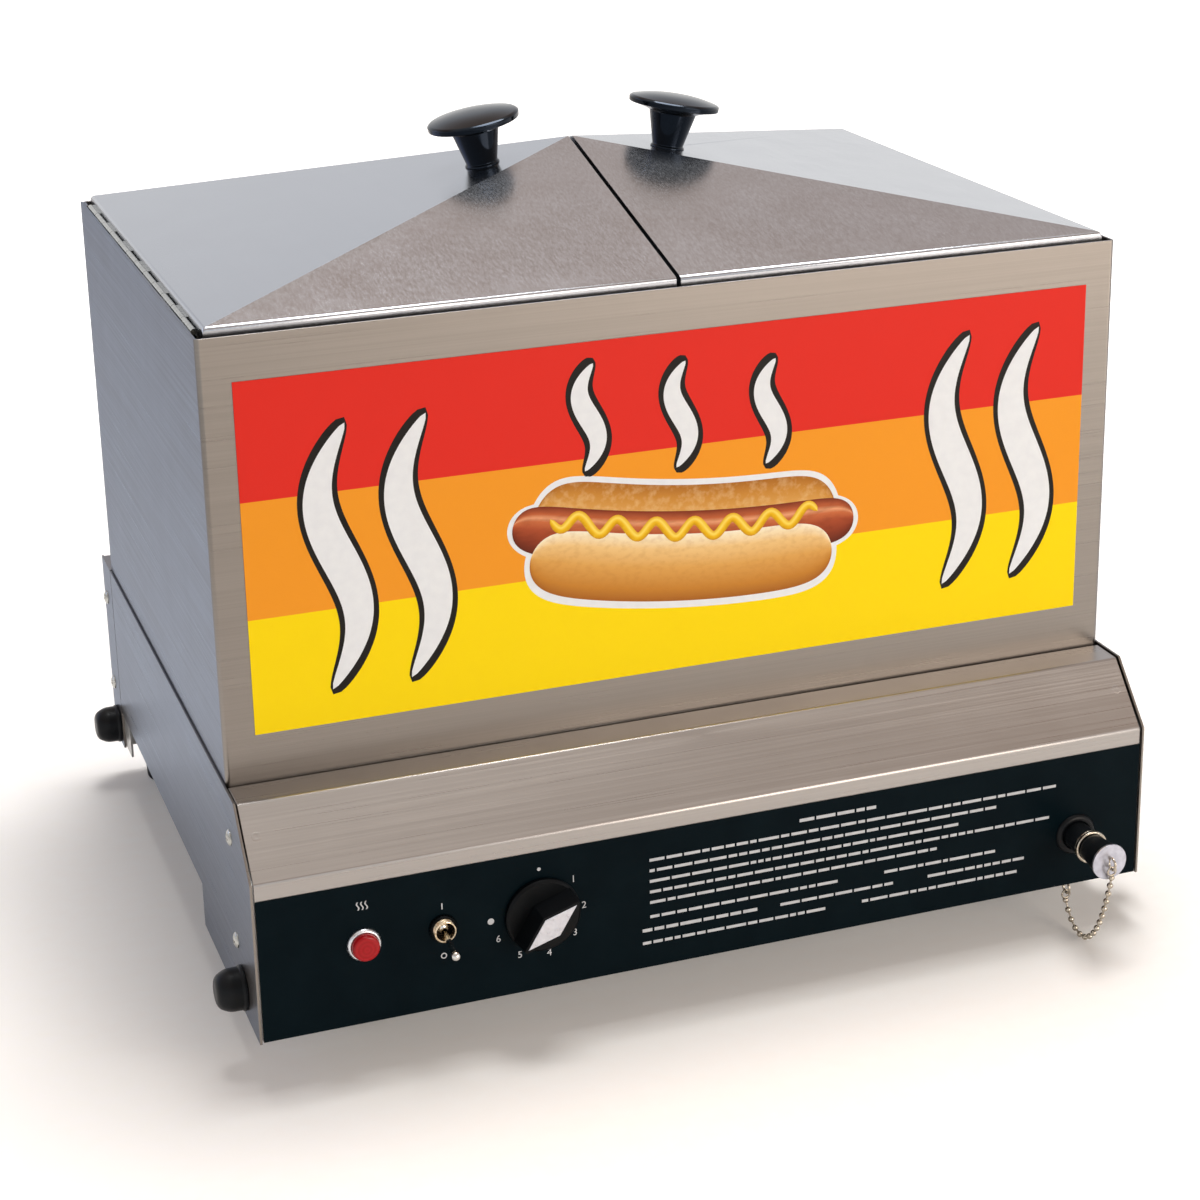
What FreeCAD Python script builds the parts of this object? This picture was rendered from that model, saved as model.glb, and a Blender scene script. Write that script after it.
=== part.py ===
import FreeCAD, Part
import math
import os

# Countertop hot dog steamer, in millimetres.
# +X is to the right as seen from the front, +Y is to the back and +Z is up.
# Shapes are drawn with x = 0 on the centre plane, y = 0 on the cabinet's front face
# and z = 0 on the counter. write() moves them so that the origin is the centre of
# the footprint of the whole object, on the counter.

os.makedirs("parts", exist_ok=True)

Vector = FreeCAD.Vector
AXIS_X = Vector(1, 0, 0)
AXIS_Y = Vector(0, 1, 0)
AXIS_Z = Vector(0, 0, 1)
FRONT = Vector(0, -1, 0)
DOWN = Vector(0, 0, -1)

# Driving dimensions of the whole object
cabinet_width = 458.0
cabinet_depth = 309.5
cabinet_height = 214.0
foot_height = 26.0
overlay_height = 72.3
lip_height = 8.2
slope_height = 29.0
slope_depth = 26.0
ledge_depth = 20.4
rear_box_depth = 26.0

# Sheet metal and clearances
sheet = 1.2
bend_radius = 1.0
play = 0.1
soft_gap = 0.3
turning_gap = 0.05
overrun = 4.0
shortest_edge = 0.001

# Levels and planes worked out from the driving dimensions
base_bottom = foot_height
hood_front_y = -(ledge_depth + slope_depth)
slope_foot_z = base_bottom + overlay_height + lip_height
ledge_z = slope_foot_z + slope_height
wall_top = ledge_z + cabinet_height
wall_half = cabinet_width / 2
wall_inner_half = wall_half - sheet
back_inner_y = cabinet_depth - sheet
middle_y = cabinet_depth / 2
base_back_y = cabinet_depth + rear_box_depth
side_inner_half = wall_half + play
side_outer_half = side_inner_half + sheet

# Cabinet shell and back
shell_skirt = 29.5
shell_bottom = ledge_z - shell_skirt
back_flange = 12.0

# Sign panel
sign_width = 427.5
sign_height = 169.4
sign_thickness = 0.4
sign_above_ledge = 23.6

# Base sides, floor and rear box
side_edge_proud = 1.0
side_top_rise = 0.8
front_leg_back_y = 77.0
notch_height = 23.0
rear_strip_depth = 27.5
rear_strip_gap = 1.0
floor_side_gap = 1.5

# Hood and control overlay
hood_end_gap = 0.8
hood_back_flange = 12.0
hood_bottom_flange = 15.0
overlay_thickness = 0.5
overlay_edge = 0.6
overlay_face_y = hood_front_y - overlay_thickness
panel_back_y = hood_front_y + sheet

# Brackets behind the base sides
bracket_play = 0.3
bracket_step = 1.5
rear_bracket_length = 44.0

# Water pan, with its rim inside the shell
pan_floor_height = 42.0
pan_depth = 56.0
pan_bottom = base_bottom + pan_floor_height
rim_z = pan_bottom + pan_depth
rim_top = rim_z + sheet
rim_width = 18.0
rim_upturn = 8.0
pan_corner = 12.0
rim_corner = 2.0

# Divider, tray and bun rack
divider_offset = 58.0
divider_x = -divider_offset
divider_flange = 10.0
tray_side_gap = 1.5
tray_end_gap = 11.0
tray_height = 28.0
tray_corner = 8.0
tray_hole_radius = 4.5
tray_hole_pitch = 22.0
rack_bar_radius = 2.5
rack_wire_radius = 1.6
rack_wire_pitch = 21.0
rack_weld_gap = 0.05

# Ledges that the lids rest on
ledge_drop = 4.5
lid_ledge_width = 9.0
lid_ledge_leg = 10.0
lid_ledge_end_gap = 3.0
lid_ledge_top = wall_top - ledge_drop
lid_rest_gap = 0.3

# Lids
lid_edge_gap = 4.8
lid_front_inset = 4.5
lid_edge_rise = 3.5
lid_apex_rise = 44.0
lid_seam_half_gap = 1.1
lid_seam_flange = 10.0
lid_edge_radius = 2.0
lid_edge_z = wall_top + lid_edge_rise
lid_apex_z = wall_top + lid_apex_rise
lid_outer_x = wall_half - lid_edge_gap
lid_bottom = lid_ledge_top + lid_rest_gap

# Lid hinges
hinge_wall_gap = 1.8
hinge_drop = 0.5
hinge_inset = 15.0
hinge_barrel_radius = 1.5
hinge_pin_radius = 0.75
hinge_leaf = 0.8
hinge_knuckles = 12
hinge_knuckle_gap = 0.4
hinge_notch = 0.4
hinge_wall_leg = 15.0
hinge_lid_leaf_down = 3.4
hinge_lid_leaf_up = 1.2
hinge_x = wall_inner_half - hinge_wall_gap
hinge_z = wall_top - hinge_drop

# Lid knobs and their screws
knob_x = 50.0
knob_forward = 8.0
knob_height = 28.0
knob_neck_radius = 8.2
knob_foot_radius = 9.4
knob_foot_height = 1.6
knob_top_neck_radius = 12.3
knob_neck_height = 18.0
knob_flare_radius = 20.5
knob_flare_height = 22.0
knob_disc_radius = 23.5
knob_edge_height = 1.6
knob_dome_radius = 15.0
knob_dome_drop = 0.6
knob_hole_radius = 2.1
knob_hole_depth = 12.0
screw_radius = 2.0
screw_head_radius = 3.8
screw_head_height = 2.2

# Pilot lamp
lamp_offset = 179.0
lamp_x = -lamp_offset
control_height = 41.6
control_z = base_bottom + control_height
bezel_radius = 8.3
bezel_height = 2.4
bezel_recess = 0.9
lens_radius = 6.5
lens_height = 6.5
lens_root_radius = 5.2
lamp_barrel_radius = 6.2
lamp_barrel_depth = 9.0
lamp_body_radius = 5.8
lamp_body_depth = 20.0

# Toggle switch
toggle_offset = 141.1
toggle_x = -toggle_offset
toggle_nut_radius = 6.8
toggle_nut_height = 2.0
toggle_bushing_radius = 5.4
toggle_bushing_height = 5.0
toggle_bore_radius = 4.3
toggle_pivot_depth = 6.5
toggle_lever_length = 24.4
toggle_neck_radius = 1.2
toggle_tip_radius = 2.3
toggle_ball_radius = 3.4
toggle_rest_angle = 12.0
toggle_body_width = 13.0
toggle_body_height = 28.0
toggle_body_depth = 18.0
toggle_height = 42.5
toggle_z = base_bottom + toggle_height

# Thermostat with its knob
dial_offset = 92.4
dial_x = -dial_offset
dial_height = 40.3
dial_z = base_bottom + dial_height
dial_pointer_angle = 38.0
skirt_radius = 18.5
skirt_gap = 0.6
skirt_height = 3.0
skirt_chamfer = 1.2
grip_half_length = 18.0
grip_half_width = 8.6
grip_tip = 2.0
grip_top_half_length = 17.1
grip_top_half_width = 7.0
grip_top_tip = 0.73
grip_height = 12.0
inlay_half_length = 15.6
inlay_half_width = 5.8
inlay_thickness = 0.8
inlay_seat = 0.6
shaft_radius = 3.0
shaft_into_body = 14.0
shaft_into_knob = 9.0
thermostat_width = 44.0
thermostat_height = 34.0
thermostat_depth = 32.0
thermostat_screw_offset = 14.0
thermostat_screw_radius = 1.5
thermostat_head_radius = 2.8
thermostat_head_height = 0.4
thermostat_screw_length = 8.0

# Thermostat bulb and capillary under the pan
bulb_radius = 3.0
bulb_length = 80.0
bulb_offset = 20.0
bulb_x = -bulb_offset
bulb_y = 160.0
capillary_radius = 0.8
capillary_bend = 8.0
capillary_dip = 9.0
capillary_near_y = 120.0
capillary_turn = 30.0

# Heating element under the pan
element_radius = 4.0
element_half_width = 170.0
element_back_y = 255.0
element_front_y = 60.0
element_leg_x = 25.0
element_end_y = 14.0
element_bend = 22.0
element_gap = 0.1
terminal_radius = 1.6
terminal_length = 10.0
clamp_width = 12.0
clamp_thickness = 1.0
clamp_wing = 9.0
clamp_side_share = 0.5
clamp_back_share = 0.35

# Terminal block and wires
block_x = 60.0
block_y = 50.0
block_width = 46.0
block_depth = 18.0
block_height = 16.0
wire_radius = 1.2
wire_step = 7.0
wire_bend = 3.4
wire_knee = 8.4
wire_lane_y = 8.0
wire_lowest = 2.6
wire_level = 2.7

# Drain
drain_x = 193.0
drain_height = 28.6
drain_z = base_bottom + drain_height
drain_pan_y = 36.0
drain_tube_radius = 7.2
drain_bore_radius = 5.5
drain_bend = 13.0
drain_proud = 17.0
grommet_radius = 11.0
grommet_hub_radius = 8.4
grommet_flange = 2.0
collar_radius = 8.7
collar_length = 3.2
plug_root_radius = 5.2
plug_root_length = 10.0
plug_neck_radius = 7.4
plug_end_radius = 8.8
plug_length = 15.5
plug_seat_gap = 0.3
disc_radius = 9.3
disc_thickness = 1.2
eye_radius = 3.0
eye_wire = 0.7
eye_stand_off = 2.4

# Ball chain between the plug and the hood
anchor_setback = 6.0
anchor_shank_radius = 1.5
anchor_drop = 4.6
anchor_nut_radius = 3.2
anchor_nut_height = 2.4
chain_bead_radius = 1.6
chain_pitch = 5.1
chain_link_radius = 0.6
chain_floor_gap = 0.5
chain_ring_radius = 2.2
chain_ring_wire = 0.5
chain_ring_weld = 0.3
chain_tightest_share = 0.001
chain_flattest_share = 10
chain_close_share = 1e-9

# Side bumpers, feet and side screws
bumper_radius = 11.0
bumper_length = 14.0
bumper_straight_share = 0.6
bumper_tip_share = 0.62
bumper_front_back = 28.8
bumper_front_height = 14.5
bumper_rear_inset = 15.5
bumper_rear_height = 11.0
foot_radius = 11.0
foot_tip_radius = 9.5
foot_edge = 1.5
foot_front_x = 174.0
foot_front_y = 7.0
foot_rear_x = 207.0
foot_rear_inset = 17.5
side_screw_radius = 2.0
side_screw_head_radius = 4.0
side_screw_head_height = 1.8
side_screw_reach = 6.0
side_screw_front = 8.0
side_screw_front_y = -side_screw_front
side_screw_low_height = 34.5
side_screw_high_height = 87.5
side_screw_rear_inset = 9.0

# Cord gland in the rear box
gland_x = 150.0
gland_height = 45.0
gland_radius = 12.0
gland_neck_radius = 8.0
gland_bore_radius = 4.5
gland_flange = 3.0
gland_inside = 8.0

# The footprint's middle, from the foremost point of the plug's eye to the back face
plug_face_y = overlay_face_y - drain_proud - plug_seat_gap - plug_length
disc_face_y = plug_face_y - disc_thickness
eye_y = disc_face_y - eye_stand_off
front_reach = eye_y - eye_radius - eye_wire
rear_reach = base_back_y + gland_flange
origin_y = (front_reach + rear_reach) / 2


def write(node, *solids):
    """Moves the solids to the object's origin and writes them as one node."""
    shape = solids[0] if len(solids) == 1 else Part.makeCompound(list(solids))
    moved = shape.copy()
    moved.translate(Vector(0, -origin_y, 0))
    moved.exportStep("parts/" + node + ".step")


def box(x0, x1, y0, y1, z0, z1):
    """A block between two x, two y and two z values."""
    return Part.makeBox(x1 - x0, y1 - y0, z1 - z0, Vector(x0, y0, z0))


def rod(radius, length, base, axis):
    """A round bar of the given length from base along axis."""
    return Part.makeCylinder(radius, length, base, axis)


def mirrored(shape):
    """The same shape on the other side of the centre plane."""
    return shape.mirror(Vector(0, 0, 0), AXIS_X)


def unit(x, y):
    """The direction of (x, y) with length one."""
    size = math.hypot(x, y)
    return x / size, y / size


def rounded_wire(corners, place):
    """A closed outline through corners (u, v, radius). place(u, v) gives the point in space."""
    starts, middles, ends = [], [], []
    for i, (u, v, radius) in enumerate(corners):
        before = corners[i - 1]
        after = corners[(i + 1) % len(corners)]
        if not radius:
            starts.append((u, v))
            middles.append(None)
            ends.append((u, v))
            continue
        au, av = unit(before[0] - u, before[1] - v)
        bu, bv = unit(after[0] - u, after[1] - v)
        half = math.acos(au * bu + av * bv) / 2
        reach = radius / math.tan(half)
        mu, mv = unit(au + bu, av + bv)
        out = radius / math.sin(half) - radius
        starts.append((u + au * reach, v + av * reach))
        middles.append((u + mu * out, v + mv * out))
        ends.append((u + bu * reach, v + bv * reach))
    edges = []
    for i, start in enumerate(starts):
        if middles[i]:
            arc = Part.Arc(place(*start), place(*middles[i]), place(*ends[i]))
            edges.append(arc.toShape())
        following = starts[(i + 1) % len(starts)]
        if math.dist(ends[i], following) > shortest_edge:
            edges.append(Part.LineSegment(place(*ends[i]), place(*following)).toShape())
    return Part.Wire(edges)


def extrude_x(corners, x0, x1):
    """A solid with an outline in (y, z), from x0 to x1."""
    wire = rounded_wire(corners, lambda y, z: Vector(x0, y, z))
    return Part.Face(wire).extrude(Vector(x1 - x0, 0, 0))


def extrude_y(corners, y0, y1):
    """A solid with an outline in (x, z), from y0 to y1."""
    wire = rounded_wire(corners, lambda x, z: Vector(x, y0, z))
    return Part.Face(wire).extrude(Vector(0, y1 - y0, 0))


def extrude_z(corners, z0, z1):
    """A solid with an outline in (x, y), from z0 to z1."""
    wire = rounded_wire(corners, lambda x, y: Vector(x, y, z0))
    return Part.Face(wire).extrude(Vector(0, 0, z1 - z0))


def rectangle(u0, u1, v0, v1, radius=0):
    """The corners of a rectangle, each rounded by the radius."""
    return [(u0, v0, radius), (u1, v0, radius), (u1, v1, radius), (u0, v1, radius)]


def folded(path, thickness=sheet, radius=bend_radius):
    """The outline of a folded sheet. path runs along one face, and the metal lies on its left."""
    near, far = [], []
    last = len(path) - 1
    for i, (u, v) in enumerate(path):
        directions = []
        if i:
            directions.append(unit(u - path[i - 1][0], v - path[i - 1][1]))
        if i < last:
            directions.append(unit(path[i + 1][0] - u, path[i + 1][1] - v))
        (au, av), (bu, bv) = directions[0], directions[-1]
        share = thickness / (1 + au * bu + av * bv)
        turn = au * bv - av * bu
        bend = radius if 0 < i < last else 0
        path_side = bend + thickness if bend and turn > 0 else bend
        left_side = bend + thickness if bend and turn < 0 else bend
        near.append((u, v, path_side))
        far.append((u - (av + bv) * share, v + (au + bu) * share, left_side))
    return near + far[::-1]


def turned(profile, base, axis):
    """A round solid: profile holds (radius, height) corners, turned about axis through base."""
    points = [Vector(r, 0, h) for r, h in profile]
    face = Part.Face(Part.makePolygon(points + points[:1]))
    solid = face.revolve(Vector(0, 0, 0), AXIS_Z, 360)
    solid.Placement = FreeCAD.Placement(base, FreeCAD.Rotation(AXIS_Z, axis))
    return solid


def ring(major, minor, centre, axis):
    """A round ring of wire about an axis."""
    return Part.makeTorus(major, minor, centre, axis)


def bent_rod(points, radius, bend):
    """A round bar along straight runs joined by tangent arcs of one bend radius."""
    edges = []
    here = points[0]
    for i in range(1, len(points) - 1):
        before = (points[i - 1] - points[i]).normalize()
        after = (points[i + 1] - points[i]).normalize()
        half = before.getAngle(after) / 2
        reach = bend / math.tan(half)
        centre_way = (before + after).normalize()
        start = points[i] + before * reach
        end = points[i] + after * reach
        middle = points[i] + centre_way * (bend / math.sin(half) - bend)
        edges.append(Part.LineSegment(here, start).toShape())
        edges.append(Part.Arc(start, middle, end).toShape())
        here = end
    edges.append(Part.LineSegment(here, points[-1]).toShape())
    path = Part.Wire(edges)
    section = Part.Wire([Part.makeCircle(radius, points[0], points[1] - points[0])])
    return path.makePipeShell([section], True, False)


def fused(solids):
    """One solid from several that touch or overlap."""
    joined = solids[0].multiFuse(solids[1:])
    return joined.removeSplitter()


# Cabinet

def cabinet_shell():
    """The front and both sides, folded from one sheet."""
    path = [
        (-wall_half, cabinet_depth),
        (-wall_half, 0),
        (wall_half, 0),
        (wall_half, cabinet_depth),
    ]
    return extrude_z(folded(path), shell_bottom, wall_top)


def cabinet_back():
    """The back sheet, with a flange along each side wall."""
    flange_y = cabinet_depth - back_flange
    path = [
        (wall_inner_half, flange_y),
        (wall_inner_half, cabinet_depth),
        (-wall_inner_half, cabinet_depth),
        (-wall_inner_half, flange_y),
    ]
    return extrude_z(folded(path), shell_bottom, wall_top)


def sign_panel():
    """The thin printed panel on the cabinet's front."""
    low = ledge_z + sign_above_ledge
    half = sign_width / 2
    return box(-half, half, -sign_thickness, 0, low, low + sign_height)


def lid_ledges():
    """The two angle strips inside the front and back walls that the lids rest on."""
    half = wall_inner_half - lid_ledge_end_gap
    low = lid_ledge_top - lid_ledge_leg
    front = [(sheet + lid_ledge_width, lid_ledge_top), (sheet, lid_ledge_top), (sheet, low)]
    back = [
        (back_inner_y, low),
        (back_inner_y, lid_ledge_top),
        (back_inner_y - lid_ledge_width, lid_ledge_top),
    ]
    return [extrude_x(folded(path), -half, half) for path in (front, back)]


def divider():
    """The upright sheet between the small and the large compartment."""
    path = [
        (divider_x + divider_flange, back_inner_y),
        (divider_x, back_inner_y),
        (divider_x, sheet),
        (divider_x + divider_flange, sheet),
    ]
    top = lid_ledge_top - lid_ledge_leg - bracket_play
    web = extrude_z(folded(path), rim_top, top)
    notch_z = rim_top + rim_upturn + bracket_play
    notch_depth = sheet + bracket_play
    x0 = divider_x - overrun
    x1 = divider_x + divider_flange + overrun
    front = box(x0, x1, 0, sheet + notch_depth, rim_top - overrun, notch_z)
    back = box(x0, x1, back_inner_y - notch_depth, cabinet_depth, rim_top - overrun, notch_z)
    return web.cut(front).cut(back)


# Water pan, tray and rack

def water_pan():
    """The pan that holds the water, its rim and the upturned edge welded to the walls."""
    rim_half = wall_inner_half - sheet - play
    front_y = sheet + play
    back_y = back_inner_y - play
    inner_half = rim_half - rim_width
    pan_front = front_y + rim_width
    pan_back = back_y - rim_width
    outer = extrude_z(
        rectangle(-inner_half, inner_half, pan_front, pan_back, pan_corner), pan_bottom, rim_top
    )
    rim = extrude_z(rectangle(-rim_half, rim_half, front_y, back_y, rim_corner), rim_z, rim_top)
    upturn_top = rim_top + rim_upturn
    edge_half = rim_half - rim_corner
    front_edge = box(-edge_half, edge_half, front_y, front_y + sheet, rim_z, upturn_top)
    back_edge = box(-edge_half, edge_half, back_y - sheet, back_y, rim_z, upturn_top)
    side_front = front_y + rim_corner
    side_back = cabinet_depth - back_flange - bracket_play
    side_edges = []
    for side in (-1, 1):
        x0, x1 = sorted((side * rim_half, side * wall_inner_half))
        side_edges.append(box(x0, x1, side_front, side_back, rim_z, upturn_top))
    body = fused([outer, rim, front_edge, back_edge] + side_edges)
    hollow = rectangle(
        -inner_half + sheet,
        inner_half - sheet,
        pan_front + sheet,
        pan_back - sheet,
        pan_corner - sheet,
    )
    body = body.cut(extrude_z(hollow, pan_bottom + sheet, rim_top + overrun))
    hole_base = Vector(drain_x, drain_pan_y, pan_bottom - overrun)
    return body.cut(rod(drain_tube_radius, sheet + 2 * overrun, hole_base, AXIS_Z))


def hot_dog_tray():
    """The lift-out perforated tray in the small compartment, resting on the pan's rim."""
    x0 = -wall_inner_half + sheet + tray_side_gap
    x1 = divider_x - tray_side_gap
    y0 = tray_end_gap
    y1 = cabinet_depth - tray_end_gap
    top = rim_top + tray_height
    outer = extrude_z(rectangle(x0, x1, y0, y1, tray_corner), rim_top, top)
    hollow = rectangle(x0 + sheet, x1 - sheet, y0 + sheet, y1 - sheet, tray_corner - sheet)
    tray = outer.cut(extrude_z(hollow, rim_top + sheet, top + overrun))
    across = int((x1 - x0 - tray_hole_pitch) / tray_hole_pitch)
    along = int((y1 - y0 - 2 * rim_width) / tray_hole_pitch)
    first_x = (x0 + x1 - (across - 1) * tray_hole_pitch) / 2
    first_y = middle_y - (along - 1) * tray_hole_pitch / 2
    holes = []
    for i in range(across):
        for j in range(along):
            place = Vector(
                first_x + i * tray_hole_pitch, first_y + j * tray_hole_pitch, rim_top - overrun
            )
            holes.append(rod(tray_hole_radius, sheet + 2 * overrun, place, AXIS_Z))
    return tray.cut(holes)


def bun_rack():
    """The rack in the large compartment: wires welded across three bars that rest on the rim."""
    x0 = divider_x + sheet + tray_side_gap
    x1 = wall_inner_half - sheet - tray_side_gap
    y0 = tray_end_gap
    y1 = cabinet_depth - tray_end_gap
    bar_z = rim_top + rack_bar_radius
    wire_z = bar_z + rack_bar_radius + rack_weld_gap + rack_wire_radius
    bars = []
    for y in (y0 + rack_bar_radius, middle_y, y1 - rack_bar_radius):
        bars.append(rod(rack_bar_radius, x1 - x0, Vector(x0, y, bar_z), AXIS_X))
    first_x = x0 + rack_wire_radius
    across = x1 - x0 - 2 * rack_wire_radius
    count = int(across / rack_wire_pitch)
    for i in range(count + 1):
        place = Vector(first_x + across * i / count, y0, wire_z)
        bars.append(rod(rack_wire_radius, y1 - y0, place, AXIS_Y))
    return bars


# Lids with their hinges and knobs

def lid_block(inset):
    """The solid under one lid's faces, with every face moved inwards by inset. Left lid."""
    side_slope = math.atan2(lid_apex_z - lid_edge_z, lid_outer_x - lid_seam_half_gap)
    front_slope = math.atan2(lid_apex_z - lid_edge_z, middle_y - lid_front_inset)
    low = lid_bottom if inset == 0 else lid_bottom - overrun
    x0 = -lid_outer_x
    x1 = -lid_seam_half_gap
    y0 = lid_front_inset
    y1 = cabinet_depth - lid_front_inset
    side_edge = lid_edge_z - inset / math.cos(side_slope) + inset * math.tan(side_slope)
    side_top = lid_apex_z - inset / math.cos(side_slope)
    front_edge = lid_edge_z - inset / math.cos(front_slope) + inset * math.tan(front_slope)
    front_top = lid_apex_z - inset / math.cos(front_slope)
    side = [
        (x0 + inset, low, 0),
        (x1 - inset, low, 0),
        (x1 - inset, side_top - inset * math.tan(side_slope), 0),
        (x0 + inset, side_edge, 0),
    ]
    gable = [
        (y0 + inset, low, 0),
        (y1 - inset, low, 0),
        (y1 - inset, front_edge, 0),
        (middle_y, front_top, 0),
        (y0 + inset, front_edge, 0),
    ]
    across = extrude_y(side, y0 - overrun, y1 + overrun)
    along = extrude_x(gable, x0 - overrun, x1 + overrun)
    return across.common(along)


def lid_rounded(block):
    """The lid's outer block with its three folded edges rounded."""
    edges = []
    for edge in block.Edges:
        centre = edge.CenterOfMass
        level = abs(centre.z - lid_edge_z) < play
        flat = edge.BoundBox.ZLength < play
        if level and flat:
            edges.append(edge)
    return block.makeFillet(lid_edge_radius, edges)


def left_lid():
    """The left lid: a folded skin with its edge flanges and an open gable at the seam."""
    skin = lid_rounded(lid_block(0)).cut(lid_block(sheet))
    flange_share = lid_seam_flange / (lid_apex_z - lid_edge_z)
    reach = (middle_y - lid_front_inset) * flange_share
    open_low = lid_bottom - overrun
    gable = [
        (lid_front_inset + reach, open_low, 0),
        (cabinet_depth - lid_front_inset - reach, open_low, 0),
        (cabinet_depth - lid_front_inset - reach, lid_edge_z, 0),
        (middle_y, lid_apex_z - lid_seam_flange, 0),
        (lid_front_inset + reach, lid_edge_z, 0),
    ]
    x1 = -lid_seam_half_gap
    skin = skin.cut(extrude_x(gable, x1 - sheet - play, x1 + overrun))
    place, axis = knob_place()
    return skin.cut(rod(knob_hole_radius, 2 * overrun, place - axis * overrun, axis))


def knob_place():
    """Where the left lid's knob stands on the side face, and the face's normal."""
    rise = lid_apex_z - lid_edge_z
    run = lid_outer_x - lid_seam_half_gap
    z = lid_apex_z - rise * (knob_x - lid_seam_half_gap) / run
    normal = Vector(-rise, 0, run)
    normal.normalize()
    return Vector(-knob_x, middle_y - knob_forward, z), normal


def lid_knob():
    """The mushroom knob, turned in one piece, with the screw's hole from below."""
    place, axis = knob_place()
    disc_top = knob_flare_height + knob_edge_height
    dome_height = knob_height - knob_dome_drop
    profile = [
        (knob_hole_radius, 0),
        (knob_foot_radius, 0),
        (knob_foot_radius, knob_foot_height / 2),
        (knob_neck_radius, knob_foot_height),
        (knob_top_neck_radius, knob_neck_height),
        (knob_flare_radius, knob_flare_height - play),
        (knob_disc_radius, knob_flare_height),
        (knob_disc_radius, disc_top),
        (knob_dome_radius, dome_height),
        (0, knob_height),
        (0, knob_hole_depth),
        (knob_hole_radius, knob_hole_depth),
    ]
    return turned(profile, place, axis)


def knob_screw():
    """The pan-head screw that holds the knob, from under the lid."""
    place, axis = knob_place()
    under = place - axis * sheet
    shank_end = sheet + knob_hole_depth - soft_gap
    head_edge = screw_head_height / 2
    profile = [
        (0, -screw_head_height),
        (screw_head_radius - head_edge, -screw_head_height),
        (screw_head_radius, -head_edge),
        (screw_head_radius, 0),
        (screw_radius, 0),
        (screw_radius, shank_end),
        (0, shank_end),
    ]
    return turned(profile, under, axis)


def hinge_stations(first):
    """The y spans of every other knuckle, starting with knuckle number first."""
    y0 = hinge_inset
    length = (cabinet_depth - 2 * hinge_inset) / hinge_knuckles
    spans = []
    for i in range(first, hinge_knuckles, 2):
        start = y0 + i * length + hinge_knuckle_gap / 2
        spans.append((start, start + length - hinge_knuckle_gap))
    return spans


def hinge_leaf_solid(leaf, own_first):
    """A hinge leaf with its knuckles, notched beside the other leaf's knuckles. Left side."""
    centre_x = -hinge_x
    reach = hinge_barrel_radius + hinge_notch
    pieces = [leaf]
    for y0, y1 in hinge_stations(own_first):
        place = Vector(centre_x, y0, hinge_z)
        pieces.append(rod(hinge_barrel_radius, y1 - y0, place, AXIS_Y))
    notches = []
    for y0, y1 in hinge_stations(1 - own_first):
        low = y0 - hinge_knuckle_gap
        high = y1 + hinge_knuckle_gap
        notches.append(
            box(centre_x - reach, centre_x + reach, low, high, hinge_z - reach, hinge_z + reach)
        )
    notched = pieces[0].cut(notches)
    joined = fused([notched] + pieces[1:])
    length = cabinet_depth
    bore = rod(hinge_pin_radius + turning_gap, length, Vector(centre_x, 0, hinge_z), AXIS_Y)
    return joined.cut(bore)


def hinge_wall_leaf():
    """The leaf on the cabinet's side wall."""
    y0 = hinge_inset
    y1 = cabinet_depth - hinge_inset
    x0 = -wall_inner_half
    leaf = box(x0, x0 + hinge_leaf, y0, y1, hinge_z - hinge_wall_leg, hinge_z)
    return hinge_leaf_solid(leaf, 0)


def hinge_lid_leaf():
    """The leaf on the lid's outer flange."""
    y0 = hinge_inset
    y1 = cabinet_depth - hinge_inset
    x1 = -lid_outer_x
    low = hinge_z - hinge_lid_leaf_down
    leaf = box(x1 - hinge_leaf, x1, y0, y1, low, hinge_z + hinge_lid_leaf_up)
    return hinge_leaf_solid(leaf, 1)


def hinge_pin():
    """The pin through every knuckle."""
    length = cabinet_depth - 2 * hinge_inset
    return rod(hinge_pin_radius, length, Vector(-hinge_x, hinge_inset, hinge_z), AXIS_Y)


# Base

def panel_holes():
    """The cuts through the hood's panel and its overlay for lamp, switch, thermostat and drain."""
    y = overlay_face_y - overrun
    depth = overlay_thickness + sheet + 2 * overrun
    holes = [
        (lamp_x, control_z, lamp_barrel_radius + play),
        (toggle_x, toggle_z, toggle_bushing_radius + play),
        (dial_x, dial_z, shaft_radius + soft_gap),
        (drain_x, drain_z, grommet_hub_radius),
    ]
    cuts = [rod(radius, depth, Vector(x, y, z), AXIS_Y) for x, z, radius in holes]
    for side in (-1, 1):
        place = Vector(dial_x + side * thermostat_screw_offset, y, dial_z)
        cuts.append(rod(thermostat_screw_radius + play, depth, place, AXIS_Y))
    return cuts


def base_hood():
    """The front of the base: ledge, slope, lip, control panel and bottom flange in one sheet."""
    path = [
        (0, ledge_z - hood_back_flange),
        (0, ledge_z),
        (-ledge_depth, ledge_z),
        (hood_front_y, slope_foot_z),
        (hood_front_y, base_bottom),
        (hood_front_y + hood_bottom_flange, base_bottom),
    ]
    half = side_inner_half - hood_end_gap
    hood = extrude_x(folded(path), -half, half)
    anchor = rod(
        anchor_shank_radius + play,
        sheet + 2 * overrun,
        Vector(drain_x, anchor_y(), base_bottom - overrun),
        AXIS_Z,
    )
    return hood.cut(panel_holes() + [anchor])


def control_overlay():
    """The thin black face of the control panel."""
    half = side_inner_half - hood_end_gap
    low = base_bottom + overlay_edge
    high = base_bottom + overlay_height
    overlay = box(-half, half, overlay_face_y, hood_front_y, low, high)
    return overlay.cut(panel_holes())


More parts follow.
